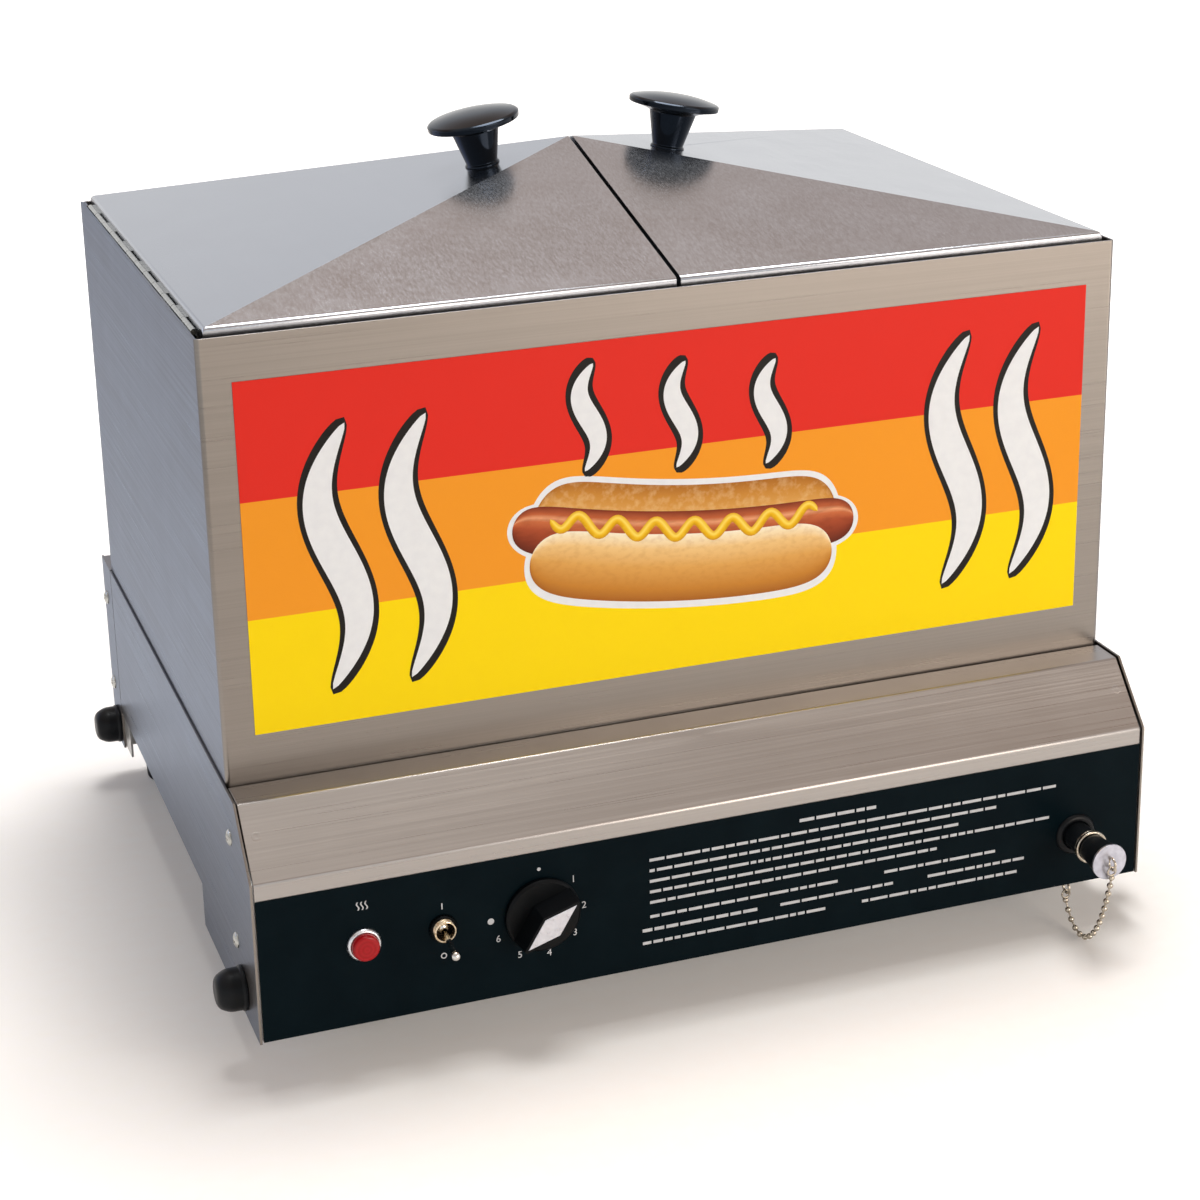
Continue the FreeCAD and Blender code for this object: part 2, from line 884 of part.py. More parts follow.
def base_side():
    """The left side of the base: front leg, raised middle and a front edge that follows the hood."""
    front = hood_front_y - side_edge_proud
    top = ledge_z + side_top_rise
    back = base_back_y - rear_strip_depth - rear_strip_gap
    corners = [
        (front, base_bottom, 0),
        (front_leg_back_y, base_bottom, 0),
        (front_leg_back_y, base_bottom + notch_height, 0),
        (back, base_bottom + notch_height, 0),
        (back, top, 0),
        (-ledge_depth - side_edge_proud / 2, top, 0),
        (front, slope_foot_z + side_edge_proud / 2, 0),
    ]
    return extrude_x(corners, -side_outer_half, -side_inner_half)


def base_floor():
    """The floor: low at the front, raised under the pan and low again in the rear box."""
    front = hood_front_y + hood_bottom_flange + play
    step_back = cabinet_depth
    raised = base_bottom + notch_height
    end = base_back_y - sheet - play
    path = [
        (front, base_bottom),
        (front_leg_back_y, base_bottom),
        (front_leg_back_y, raised),
        (step_back, raised),
        (step_back, base_bottom),
        (end, base_bottom),
    ]
    half = side_inner_half - floor_side_gap
    return extrude_x(folded(path), -half, half)


def base_back():
    """The rear box's back, its top that meets the cabinet and a strip round each side."""
    top = ledge_z + side_top_rise
    path = [
        (base_back_y, base_bottom),
        (base_back_y, top),
        (cabinet_depth + play, top),
    ]
    back = extrude_x(folded(path), -side_inner_half, side_inner_half)
    strips = []
    for side in (-1, 1):
        x0, x1 = sorted((side * side_inner_half, side * side_outer_half))
        strips.append(box(x0, x1, base_back_y - rear_strip_depth, base_back_y, base_bottom, top))
    body = fused([back] + strips)
    corners = []
    for edge in body.Edges:
        box_of_edge = edge.BoundBox
        upright = box_of_edge.ZLength > play and box_of_edge.XLength < play
        at_corner = abs(abs(edge.CenterOfMass.x) - side_outer_half) < play
        if upright and at_corner and abs(edge.CenterOfMass.y - base_back_y) < play:
            corners.append(edge)
    body = body.makeFillet(bend_radius, corners)
    hole_base = Vector(gland_x, base_back_y - sheet - overrun, base_bottom + gland_height)
    return body.cut(rod(gland_neck_radius, sheet + 2 * overrun, hole_base, AXIS_Y))


def hood_end_bracket():
    """The left plate behind the base side that its front screws go into."""
    y0 = hood_front_y + sheet + bracket_play
    y1 = -bracket_step
    low = base_bottom + sheet + bracket_play
    high = ledge_z - hood_back_flange - bracket_play
    corners = [
        (y0, low, 0),
        (y1, low, 0),
        (y1, high, 0),
        (-ledge_depth, high, 0),
        (y0, slope_foot_z - bracket_play, 0),
    ]
    plate = extrude_x(corners, -side_inner_half, -side_inner_half + sheet)
    return plate.cut(side_screw_holes())


def rear_corner_bracket():
    """The left plate that joins the base side to the rear strip."""
    y1 = base_back_y - sheet - bracket_play
    y0 = y1 - rear_bracket_length
    low = base_bottom + sheet + bracket_play
    high = ledge_z - hood_back_flange
    step_z = shell_bottom - bracket_play
    step_y = cabinet_depth + bracket_play
    corners = [(y0, low, 0), (y1, low, 0), (y1, high, 0), (step_y, high, 0)]
    corners += [(step_y, step_z, 0), (y0, step_z, 0)]
    plate = extrude_x(corners, -side_inner_half, -side_inner_half + sheet)
    return plate.cut(side_screw_holes())


def side_screw_places():
    """The (y, z) of the four screws on one side of the base."""
    rear_y = base_back_y - side_screw_rear_inset
    low = base_bottom + side_screw_low_height
    high = base_bottom + side_screw_high_height
    return [(side_screw_front_y, low), (side_screw_front_y, high), (rear_y, low), (rear_y, high)]


def side_screw_holes():
    """The cuts for the left side's screws."""
    depth = sheet + side_screw_reach + 2 * overrun
    radius = side_screw_radius + play
    x = -side_outer_half - overrun
    return [rod(radius, depth, Vector(x, y, z), AXIS_X) for y, z in side_screw_places()]


def side_screws():
    """The four pan-head screws on the left side."""
    screws = []
    edge = side_screw_head_height / 2
    profile = [
        (0, side_screw_head_height),
        (side_screw_head_radius - edge, side_screw_head_height),
        (side_screw_head_radius, edge),
        (side_screw_head_radius, 0),
        (side_screw_radius, 0),
        (side_screw_radius, -side_screw_reach),
        (0, -side_screw_reach),
    ]
    for y, z in side_screw_places():
        screws.append(turned(profile, Vector(-side_outer_half, y, z), -AXIS_X))
    return screws


def side_bumpers():
    """The two rubber bumpers on the left side."""
    straight = bumper_length * bumper_straight_share
    profile = [
        (0, 0),
        (bumper_radius, 0),
        (bumper_radius, straight),
        (bumper_radius * bumper_tip_share, bumper_length),
        (0, bumper_length),
    ]
    front = Vector(
        -side_outer_half, hood_front_y + bumper_front_back, base_bottom + bumper_front_height
    )
    rear = Vector(
        -side_outer_half, base_back_y - bumper_rear_inset, base_bottom + bumper_rear_height
    )
    return [turned(profile, place, -AXIS_X) for place in (front, rear)]


def feet():
    """The four rubber feet."""
    profile = [
        (0, 0),
        (foot_tip_radius - foot_edge, 0),
        (foot_tip_radius, foot_edge),
        (foot_radius, foot_height),
        (0, foot_height),
    ]
    rear_y = base_back_y - foot_rear_inset
    places = [(foot_front_x, foot_front_y), (foot_rear_x, rear_y)]
    solids = []
    for x, y in places:
        for side in (-1, 1):
            solids.append(turned(profile, Vector(side * x, y, 0), AXIS_Z))
    return solids


def cord_gland():
    """The bushing in the rear box that the supply cord would pass through."""
    z = base_bottom + gland_height
    inner = -sheet - gland_inside
    profile = [
        (gland_bore_radius, gland_flange),
        (gland_radius, gland_flange),
        (gland_radius, 0),
        (gland_neck_radius, 0),
        (gland_neck_radius, inner),
        (gland_bore_radius, inner),
    ]
    return turned(profile, Vector(gland_x, base_back_y, z), AXIS_Y)


# Controls

def lamp_bezel():
    """The lamp's chrome bezel and the barrel behind it."""
    depth = overlay_thickness + lamp_barrel_depth
    profile = [
        (lens_root_radius + play, bezel_recess),
        (lens_radius + play, bezel_recess),
        (lens_radius + play, bezel_height),
        ((lens_radius + bezel_radius) / 2, bezel_height),
        (bezel_radius, bezel_height / 2),
        (bezel_radius, 0),
        (lamp_barrel_radius, 0),
        (lamp_barrel_radius, -depth),
        (lens_root_radius + play, -depth),
    ]
    return turned(profile, Vector(lamp_x, overlay_face_y, control_z), FRONT)


def lamp_lens():
    """The red lens: a root in the bezel, a short rim and a dome."""
    low = bezel_recess
    depth = overlay_thickness + lamp_barrel_depth
    dome_height = (lens_height - low) / 2
    rim_z = lens_height - dome_height
    dome_radius = (lens_radius**2 + dome_height**2) / (2 * dome_height)
    half_angle = math.asin(lens_radius / dome_radius) / 2
    between = Vector(
        dome_radius * math.sin(half_angle),
        0,
        lens_height - dome_radius * (1 - math.cos(half_angle)),
    )
    corners = [
        Vector(0, 0, lens_height),
        Vector(0, 0, -depth),
        Vector(lens_root_radius, 0, -depth),
        Vector(lens_root_radius, 0, low),
        Vector(lens_radius, 0, low),
        Vector(lens_radius, 0, rim_z),
    ]
    edges = [Part.LineSegment(a, b).toShape() for a, b in zip(corners, corners[1:])]
    edges.append(Part.Arc(corners[-1], between, corners[0]).toShape())
    solid = Part.Face(Part.Wire(edges)).revolve(Vector(0, 0, 0), AXIS_Z, 360)
    place = Vector(lamp_x, overlay_face_y, control_z)
    solid.Placement = FreeCAD.Placement(place, FreeCAD.Rotation(AXIS_Z, FRONT))
    return solid


def lamp_body():
    """The lamp's holder behind the panel."""
    front = overlay_face_y + overlay_thickness + lamp_barrel_depth
    return rod(lamp_body_radius, lamp_body_depth, Vector(lamp_x, front, control_z), AXIS_Y)


def toggle_pivot():
    """The point that the toggle lever turns about."""
    return Vector(toggle_x, overlay_face_y - toggle_bushing_height + toggle_pivot_depth, toggle_z)


def toggle_bushing():
    """The threaded bushing, from the switch body through the panel."""
    back = overlay_face_y - panel_back_y
    profile = [
        (toggle_bore_radius, toggle_bushing_height),
        (toggle_bushing_radius, toggle_bushing_height),
        (toggle_bushing_radius, back),
        (toggle_bore_radius, back),
    ]
    return turned(profile, Vector(toggle_x, overlay_face_y, toggle_z), FRONT)


def toggle_nut():
    """The round nut on the bushing, against the panel's face."""
    profile = [
        (toggle_bushing_radius + play, toggle_nut_height),
        (toggle_nut_radius - play, toggle_nut_height),
        (toggle_nut_radius, toggle_nut_height - play),
        (toggle_nut_radius, 0),
        (toggle_bushing_radius + play, 0),
    ]
    return turned(profile, Vector(toggle_x, overlay_face_y, toggle_z), FRONT)


def toggle_body():
    """The switch body behind the panel, hollow round the lever's ball."""
    half_width = toggle_body_width / 2
    half_height = toggle_body_height / 2
    y1 = panel_back_y + toggle_body_depth
    body = box(
        toggle_x - half_width,
        toggle_x + half_width,
        panel_back_y,
        y1,
        toggle_z - half_height,
        toggle_z + half_height,
    )
    front = Vector(toggle_x, panel_back_y, toggle_z)
    room = toggle_pivot().y - panel_back_y + toggle_ball_radius + soft_gap
    return body.cut(rod(toggle_bore_radius, room, front, AXIS_Y))


def toggle_lever():
    """The bat lever, pointing down in its off position."""
    tilt = math.radians(toggle_rest_angle)
    way = Vector(0, -math.cos(tilt), -math.sin(tilt))
    pivot = toggle_pivot()
    tip_centre = toggle_lever_length - toggle_tip_radius
    neck = Part.makeCone(
        toggle_neck_radius, toggle_tip_radius * math.sqrt(0.5), tip_centre, pivot, way
    )
    tip = Part.makeSphere(toggle_tip_radius, pivot + way * tip_centre)
    ball = Part.makeSphere(toggle_ball_radius, pivot)
    return fused([ball, neck, tip])


def dial_turned(solid):
    """Turns a piece drawn with its pointer along +X to the knob's rest angle, on its axis."""
    solid.rotate(Vector(dial_x, 0, dial_z), FRONT, dial_pointer_angle)
    return solid


def grip_outline(y, half_length, half_width, tip):
    """A diamond at depth y, with its two long tips cut off square."""
    corners = [
        (dial_x - half_length, dial_z - tip, 0),
        (dial_x, dial_z - half_width, 0),
        (dial_x + half_length, dial_z - tip, 0),
        (dial_x + half_length, dial_z + tip, 0),
        (dial_x, dial_z + half_width, 0),
        (dial_x - half_length, dial_z + tip, 0),
    ]
    return rounded_wire(corners, lambda x, z: Vector(x, y, z))


def thermostat_knob():
    """The black knob: a round skirt with a diamond grip that narrows, bored for the shaft."""
    back_y = overlay_face_y - skirt_gap
    profile = [
        (0, 0),
        (skirt_radius, 0),
        (skirt_radius, skirt_height - skirt_chamfer),
        (skirt_radius - skirt_chamfer, skirt_height),
        (0, skirt_height),
    ]
    skirt = turned(profile, Vector(dial_x, back_y, dial_z), FRONT)
    top_y = back_y - skirt_height - grip_height
    foot_y = back_y - skirt_height + play
    foot = grip_outline(foot_y, grip_half_length, grip_half_width, grip_tip)
    top = grip_outline(top_y, grip_top_half_length, grip_top_half_width, grip_top_tip)
    grip = Part.makeLoft([foot, top], True, True)
    seat = diamond(top_y - overrun, top_y + inlay_seat)
    knob = fused([skirt, grip]).cut(seat)
    bore = rod(shaft_radius, shaft_into_knob, Vector(dial_x, back_y, dial_z), FRONT)
    return dial_turned(knob.cut(bore))


def diamond(y0, y1):
    """A plain diamond prism on the knob's axis."""
    outline = [
        (dial_x - inlay_half_length, dial_z, 0),
        (dial_x, dial_z - inlay_half_width, 0),
        (dial_x + inlay_half_length, dial_z, 0),
        (dial_x, dial_z + inlay_half_width, 0),
    ]
    return extrude_y(outline, y0, y1)


def knob_inlay():
    """The pale diamond let into the grip's face."""
    top_y = overlay_face_y - skirt_gap - skirt_height - grip_height
    return dial_turned(diamond(top_y + inlay_seat - inlay_thickness, top_y + inlay_seat))


def thermostat_shaft():
    """The shaft from inside the thermostat to the knob."""
    end_y = overlay_face_y - skirt_gap - shaft_into_knob
    start_y = panel_back_y + shaft_into_body
    return rod(shaft_radius, start_y - end_y, Vector(dial_x, end_y, dial_z), AXIS_Y)


def thermostat_body():
    """The thermostat behind the panel, bored for its shaft."""
    half_width = thermostat_width / 2
    half_height = thermostat_height / 2
    body = box(
        dial_x - half_width,
        dial_x + half_width,
        panel_back_y,
        panel_back_y + thermostat_depth,
        dial_z - half_height,
        dial_z + half_height,
    )
    depth = shaft_into_body + soft_gap
    front = Vector(dial_x, panel_back_y, dial_z)
    cuts = [rod(shaft_radius + turning_gap, depth, front, AXIS_Y)]
    for side in (-1, 1):
        place = front + AXIS_X * (side * thermostat_screw_offset)
        cuts.append(rod(thermostat_screw_radius, thermostat_screw_length, place, AXIS_Y))
    return body.cut(cuts)


def thermostat_screws():
    """The two flat screws that hold the thermostat, hidden under the knob's skirt."""
    screws = []
    end = -(thermostat_screw_length + overlay_thickness + sheet - soft_gap)
    profile = [
        (0, thermostat_head_height),
        (thermostat_head_radius, thermostat_head_height),
        (thermostat_head_radius, 0),
        (thermostat_screw_radius, 0),
        (thermostat_screw_radius, end),
        (0, end),
    ]
    for side in (-1, 1):
        place = Vector(dial_x + side * thermostat_screw_offset, overlay_face_y, dial_z)
        screws.append(turned(profile, place, FRONT))
    return screws


# Heating

def heating_element():
    """The tubular element, one loop under the pan with both ends at the front."""
    z = pan_bottom - element_radius - element_gap
    points = [
        Vector(-element_leg_x, element_end_y, z),
        Vector(-element_leg_x, element_front_y, z),
        Vector(-element_half_width, element_front_y, z),
        Vector(-element_half_width, element_back_y, z),
        Vector(element_half_width, element_back_y, z),
        Vector(element_half_width, element_front_y, z),
        Vector(element_leg_x, element_front_y, z),
        Vector(element_leg_x, element_end_y, z),
    ]
    tube = bent_rod(points, element_radius, element_bend)
    pins = []
    for side in (-1, 1):
        place = Vector(side * element_leg_x, element_end_y + terminal_length, z)
        pins.append(rod(terminal_radius, 2 * terminal_length, place, FRONT))
    return fused([tube] + pins)


def element_clamps():
    """The four hat-shaped straps that hold the element to the pan."""
    half = element_radius + element_gap
    drop = 2 * element_radius + 2 * element_gap
    hat = [
        (-half - clamp_thickness - clamp_wing, -clamp_thickness),
        (-half - clamp_thickness, -clamp_thickness),
        (-half - clamp_thickness, -drop - clamp_thickness),
        (half + clamp_thickness, -drop - clamp_thickness),
        (half + clamp_thickness, -clamp_thickness),
        (half + clamp_thickness + clamp_wing, -clamp_thickness),
    ]
    outline = folded(hat, clamp_thickness, 0)
    straps = []
    side_y = element_front_y + (element_back_y - element_front_y) * clamp_side_share
    for x in (-element_half_width, element_half_width):
        corners = [(x + u, pan_bottom + v, r) for u, v, r in outline]
        straps.append(extrude_y(corners, side_y - clamp_width / 2, side_y + clamp_width / 2))
    back_x = element_half_width * clamp_back_share
    for x in (-back_x, back_x):
        corners = [(element_back_y + u, pan_bottom + v, r) for u, v, r in outline]
        straps.append(extrude_x(corners, x - clamp_width / 2, x + clamp_width / 2))
    return straps


def thermostat_bulb():
    """The sensing bulb under the pan and the capillary that runs to the thermostat."""
    z = pan_bottom - bulb_radius - element_gap
    low = z - capillary_dip
    bulb = rod(bulb_radius, bulb_length, Vector(bulb_x, bulb_y, z), AXIS_X)
    end_y = panel_back_y + thermostat_depth
    points = [
        Vector(bulb_x + capillary_bend, bulb_y, z),
        Vector(bulb_x - capillary_turn, bulb_y, z),
        Vector(dial_x, capillary_near_y, low),
        Vector(dial_x, end_y, low),
    ]
    return fused([bulb, bent_rod(points, capillary_radius, capillary_bend)])


def terminal_block():
    """The block on the floor where the wires meet."""
    z = base_bottom + sheet
    half_width = block_width / 2
    half_depth = block_depth / 2
    return box(
        block_x - half_width,
        block_x + half_width,
        block_y - half_depth,
        block_y + half_depth,
        z,
        z + block_height,
    )


def internal_wires():
    """The wires from the lamp, switch, thermostat and element to the terminal block."""
    block_front = block_y - block_depth / 2
    first_x = block_x - block_width / 2 + wire_step
    element_z = pan_bottom - element_radius - element_gap
    element_y = element_end_y - terminal_length
    lamp_back = overlay_face_y + overlay_thickness + lamp_barrel_depth + lamp_body_depth
    thermostat_x = dial_x + thermostat_width / 2 - wire_step
    thermostat_z = dial_z - thermostat_height / 2 + wire_step
    starts = [
        (Vector(lamp_x, lamp_back, control_z), AXIS_Y),
        (Vector(toggle_x, panel_back_y + toggle_body_depth, toggle_z), AXIS_Y),
        (Vector(thermostat_x, panel_back_y + thermostat_depth, thermostat_z), AXIS_Y),
        (Vector(-element_leg_x, element_y, element_z), FRONT),
        (Vector(element_leg_x, element_y, element_z), FRONT),
    ]
    wires = []
    for i, (start, away) in enumerate(starts):
        level = base_bottom + sheet + wire_lowest + i * wire_level
        end_x = first_x + i * wire_step
        knee = start + away * wire_knee
        drop = Vector(knee.x, knee.y, level)
        lane = Vector(end_x, wire_lane_y, level)
        end = Vector(end_x, block_front, level)
        wires.append(bent_rod([start, knee, drop, lane, end], wire_radius, wire_bend))
    return wires


# Drain

def drain_grommet():
    """The rubber grommet in the panel that the drain tube passes through."""
    back = -(panel_back_y - overlay_face_y)
    profile = [
        (drain_tube_radius, grommet_flange),
        (grommet_radius - grommet_flange / 2, grommet_flange),
        (grommet_radius, grommet_flange / 2),
        (grommet_radius, 0),
        (grommet_hub_radius, 0),
        (grommet_hub_radius, back),
        (grommet_radius, back),
        (grommet_radius, back - grommet_flange),
        (drain_tube_radius, back - grommet_flange),
    ]
    return turned(profile, Vector(drain_x, overlay_face_y, drain_z), FRONT)


def drain_tube():
    """The tube from the pan's floor, round a bend and out through the panel."""
    top = Vector(drain_x, drain_pan_y, pan_bottom + sheet)
    corner = Vector(drain_x, drain_pan_y, drain_z)
    end = Vector(drain_x, overlay_face_y - drain_proud, drain_z)
    outer = bent_rod([top, corner, end], drain_tube_radius, drain_bend)
    inner = bent_rod([top + AXIS_Z * play, corner, end + FRONT * play], drain_bore_radius, drain_bend)
    return outer.cut(inner)


def drain_collar():
    """The bright ring round the tube's mouth."""
    profile = [
        (drain_tube_radius, 0),
        (drain_tube_radius, -collar_length),
        (collar_radius - play, -collar_length),
        (collar_radius, -collar_length + play),
        (collar_radius, -play),
        (collar_radius - play, 0),
    ]
    return turned(profile, Vector(drain_x, overlay_face_y - drain_proud, drain_z), FRONT)


def drain_plug():
    """The rubber plug: a root inside the tube and a head that flares towards its disc."""
    seat = plug_seat_gap
    profile = [
        (0, -plug_root_length),
        (plug_root_radius - play, -plug_root_length),
        (plug_root_radius, -plug_root_length + play),
        (plug_root_radius, seat),
        (plug_neck_radius, seat),
        (plug_end_radius, seat + plug_length),
        (0, seat + plug_length),
    ]
    return turned(profile, Vector(drain_x, overlay_face_y - drain_proud, drain_z), FRONT)


def plug_disc():
    """The pale metal disc on the plug's head."""
    return rod(disc_radius, disc_thickness, Vector(drain_x, plug_face_y, drain_z), FRONT)


def eye_centre():
    """The centre of the wire eye on the plug's disc."""
    return Vector(drain_x, eye_y, drain_z)


def plug_eye():
    """The wire eye that stands on the disc, cut flat where it meets it."""
    loop = ring(eye_radius, eye_wire, eye_centre(), AXIS_X)
    reach = eye_radius + overrun
    behind = box(
        drain_x - reach, drain_x + reach, disc_face_y, disc_face_y + reach,
        drain_z - reach, drain_z + reach,
    )
    return loop.cut(behind)


def anchor_y():
    """How far back the chain's anchor stands on the hood's bottom flange."""
    return hood_front_y + anchor_setback


def anchor_centre():
    """The centre of the anchor's eye, under the hood's bottom flange."""
    return Vector(drain_x, anchor_y(), base_bottom - anchor_drop)


def chain_anchor():
    """The small screw eye that holds the chain's other end."""
    centre = anchor_centre()
    top = base_bottom + sheet + anchor_nut_height
    shank_base = centre + AXIS_Z * (eye_radius - eye_wire / 2)
    shank = rod(anchor_shank_radius, top - shank_base.z, shank_base, AXIS_Z)
    nut_base = Vector(centre.x, centre.y, base_bottom + sheet)
    nut = rod(anchor_nut_radius, anchor_nut_height, nut_base, AXIS_Z)
    return fused([ring(eye_radius, eye_wire, centre, AXIS_X), shank, nut])


def chain_curve(front, back, low):
    """The hanging curve: its stiffness a and the y of its lowest point.

    The chain's height above its lowest point is a times (cosh(d / a) - 1), where d is the distance
    from that point. a is found by halving until both ends lie the right distance apart.
    """
    span = back.y - front.y
    small = span * chain_tightest_share
    large = span * chain_flattest_share
    while large - small > span * chain_close_share:
        a = (small + large) / 2
        reach = a * math.acosh(1 + (front.z - low) / a) + a * math.acosh(1 + (back.z - low) / a)
        if reach < span:
            small = a
        else:
            large = a
    return a, front.y + a * math.acosh(1 + (front.z - low) / a)


def ring_centre(eye):
    """The centre of a chain ring that hangs in an eye whose centre is given."""
    drop = eye_radius + chain_ring_radius - eye_wire - chain_ring_wire - play
    return eye + DOWN * drop


def end_bead(eye):
    """The centre of the bead under the chain ring that hangs in an eye."""
    return ring_centre(eye) + DOWN * (chain_ring_radius + chain_bead_radius - chain_ring_weld)


def drain_chain():
    """The ball chain: beads at a steady pitch along the hanging curve, with a ring at each end."""
    front = end_bead(eye_centre())
    back = end_bead(anchor_centre())
    low = chain_floor_gap + chain_bead_radius
    a, low_y = chain_curve(front, back, low)
    start = -a * math.sinh((low_y - front.y) / a)
    end = a * math.sinh((back.y - low_y) / a)
    count = round((end - start) / chain_pitch)
    beads = []
    for i in range(count + 1):
        s = start + (end - start) * i / count
        beads.append(Vector(drain_x, low_y + a * math.asinh(s / a), low + math.hypot(a, s) - a))
    pieces = [Part.makeSphere(chain_bead_radius, bead) for bead in beads]
    for here, there in zip(beads, beads[1:]):
        pieces.append(rod(chain_link_radius, here.distanceToPoint(there), here, there - here))
    for eye in (eye_centre(), anchor_centre()):
        pieces.append(ring(chain_ring_radius, chain_ring_wire, ring_centre(eye), AXIS_Y))
    print("chain beads", len(beads), "length", round(end - start, 1))
    return fused(pieces)


# Writing the nodes

write("cabinet_shell", cabinet_shell())
write("cabinet_back", cabinet_back())
write("sign_panel", sign_panel())
write("lid_ledges", *lid_ledges())
write("divider", divider())
write("water_pan", water_pan())
write("hot_dog_tray", hot_dog_tray())
write("bun_rack", *bun_rack())

write("left_lid", left_lid())
write("right_lid", mirrored(left_lid()))
write("left_lid_knob", lid_knob())
write("right_lid_knob", mirrored(lid_knob()))
write("left_knob_screw", knob_screw())
write("right_knob_screw", mirrored(knob_screw()))
write("left_hinge_wall_leaf", hinge_wall_leaf())
write("right_hinge_wall_leaf", mirrored(hinge_wall_leaf()))
write("left_hinge_lid_leaf", hinge_lid_leaf())
write("right_hinge_lid_leaf", mirrored(hinge_lid_leaf()))
write("left_hinge_pin", hinge_pin())
write("right_hinge_pin", mirrored(hinge_pin()))

write("base_hood", base_hood())
write("control_overlay", control_overlay())
write("base_left_side", base_side().cut(side_screw_holes()))
write("base_right_side", mirrored(base_side().cut(side_screw_holes())))
write("base_floor", base_floor())
base_back_solid = base_back().cut(side_screw_holes())
base_back_solid = base_back_solid.cut([mirrored(hole) for hole in side_screw_holes()])
write("base_back", base_back_solid)
write("hood_end_brackets", hood_end_bracket(), mirrored(hood_end_bracket()))
write("rear_corner_brackets", rear_corner_bracket(), mirrored(rear_corner_bracket()))
write("side_screws", *side_screws(), *[mirrored(screw) for screw in side_screws()])
write("side_bumpers", *side_bumpers(), *[mirrored(bumper) for bumper in side_bumpers()])
write("feet", *feet())
write("cord_gland", cord_gland())

write("pilot_lamp_bezel", lamp_bezel())
write("pilot_lamp_lens", lamp_lens())
write("pilot_lamp_body", lamp_body())
write("toggle_bushing", toggle_bushing())
write("toggle_nut", toggle_nut())
write("toggle_switch_body", toggle_body())
write("toggle_lever", toggle_lever())
write("thermostat_knob", thermostat_knob())
write("thermostat_knob_inlay", knob_inlay())
write("thermostat_shaft", thermostat_shaft())
write("thermostat_body", thermostat_body())
write("thermostat_screws", *thermostat_screws())

write("heating_element", heating_element())
write("element_clamps", *element_clamps())
write("thermostat_bulb", thermostat_bulb())
write("terminal_block", terminal_block())
write("internal_wires", *internal_wires())

write("drain_grommet", drain_grommet())
write("drain_tube", drain_tube())
write("drain_collar", drain_collar())
write("drain_plug", drain_plug())
write("plug_disc", plug_disc())
write("plug_eye", plug_eye())
write("chain_anchor", chain_anchor())
write("drain_chain", drain_chain())

print("origin y", round(origin_y, 3))
print("lid hinge axis x", round(hinge_x, 3), "z", round(hinge_z, 3))
print("toggle pivot", [round(v, 3) for v in toggle_pivot()])
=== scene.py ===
# %% [markdown]
# # A countertop hot dog steamer
#
# The cabinet, the lids and the controls were drawn first in a CAD program. This script loads that model
# as a fixed frame and gives it its looks: rounded rubber, turned knobs, a ball chain, a printed sign, and
# a material for every surface. Everything is in metres: +X to the right as seen from the front, +Y to the
# back, +Z up, with the origin in the middle of the footprint.

# %% Load the frame
import math

import bmesh
import bpy
import numpy as np
from mathutils import Matrix, Vector


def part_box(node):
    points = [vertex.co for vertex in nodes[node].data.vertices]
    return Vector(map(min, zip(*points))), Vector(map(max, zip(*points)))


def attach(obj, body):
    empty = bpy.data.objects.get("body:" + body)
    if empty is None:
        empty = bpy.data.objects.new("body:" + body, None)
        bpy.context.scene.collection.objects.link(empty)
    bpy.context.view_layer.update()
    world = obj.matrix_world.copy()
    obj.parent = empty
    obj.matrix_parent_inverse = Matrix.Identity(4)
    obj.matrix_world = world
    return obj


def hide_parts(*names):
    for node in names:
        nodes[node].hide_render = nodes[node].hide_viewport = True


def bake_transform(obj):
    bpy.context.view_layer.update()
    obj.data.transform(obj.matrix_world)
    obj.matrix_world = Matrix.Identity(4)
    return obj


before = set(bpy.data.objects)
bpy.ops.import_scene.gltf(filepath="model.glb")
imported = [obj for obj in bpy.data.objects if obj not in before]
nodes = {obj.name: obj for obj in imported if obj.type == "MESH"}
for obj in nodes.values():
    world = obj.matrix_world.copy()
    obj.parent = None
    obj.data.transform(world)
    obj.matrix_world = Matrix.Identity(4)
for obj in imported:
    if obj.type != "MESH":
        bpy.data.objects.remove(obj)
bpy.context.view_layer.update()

MM = 0.001

# %% [markdown]
# ## Helpers for materials
#
# One function adds a node, sets its options and links or fills its inputs. Colours are written as sRGB
# hex values, as a paint program shows them, and one function turns them into the linear values that a
# renderer works in. The others hold steps that most finishes share: a cloudy pattern, colours laid over
# each other, and the shader at the end.

# %% Nodes and colours
def linear(code):
    """An sRGB hex value as linear colour.

    A channel c becomes c / 12.92 up to 0.04045, and ((c + 0.055) / 1.055) ^ 2.4 above that."""
    channels = np.array([int(code[i : i + 2], 16) for i in (1, 3, 5)]) / 255
    curved = np.where(channels <= 0.04045, channels / 12.92, ((channels + 0.055) / 1.055) ** 2.4)
    return (*curved.tolist(), 1.0)


def add_node(tree, kind, inputs=None, **settings):
    """Adds a shader node with its settings. An input that is a node or socket is linked, others are values.

    A node stands for its first output in use. A name stands for the first input in use with that name."""
    node = tree.nodes.new("ShaderNode" + kind)
    for name, value in settings.items():
        setattr(node, name, value)
    for key, value in (inputs or {}).items():
        if isinstance(key, str):
            entry = next(s for s in node.inputs if s.name == key and s.enabled)
        else:
            entry = node.inputs[key]
        if isinstance(value, bpy.types.Node):
            value = next(s for s in value.outputs if s.enabled)
        if isinstance(value, bpy.types.NodeSocket):
            tree.links.new(value, entry)
        else:
            entry.default_value = value
    return node


def new_material(name):
    """A material that holds no nodes yet, its tree, and the socket with a point's place on the object."""
    material = bpy.data.materials.new(name)
    material.use_nodes = True
    tree = material.node_tree
    tree.nodes.clear()
    print("material", name)
    return material, tree, add_node(tree, "TexCoord").outputs["Object"]


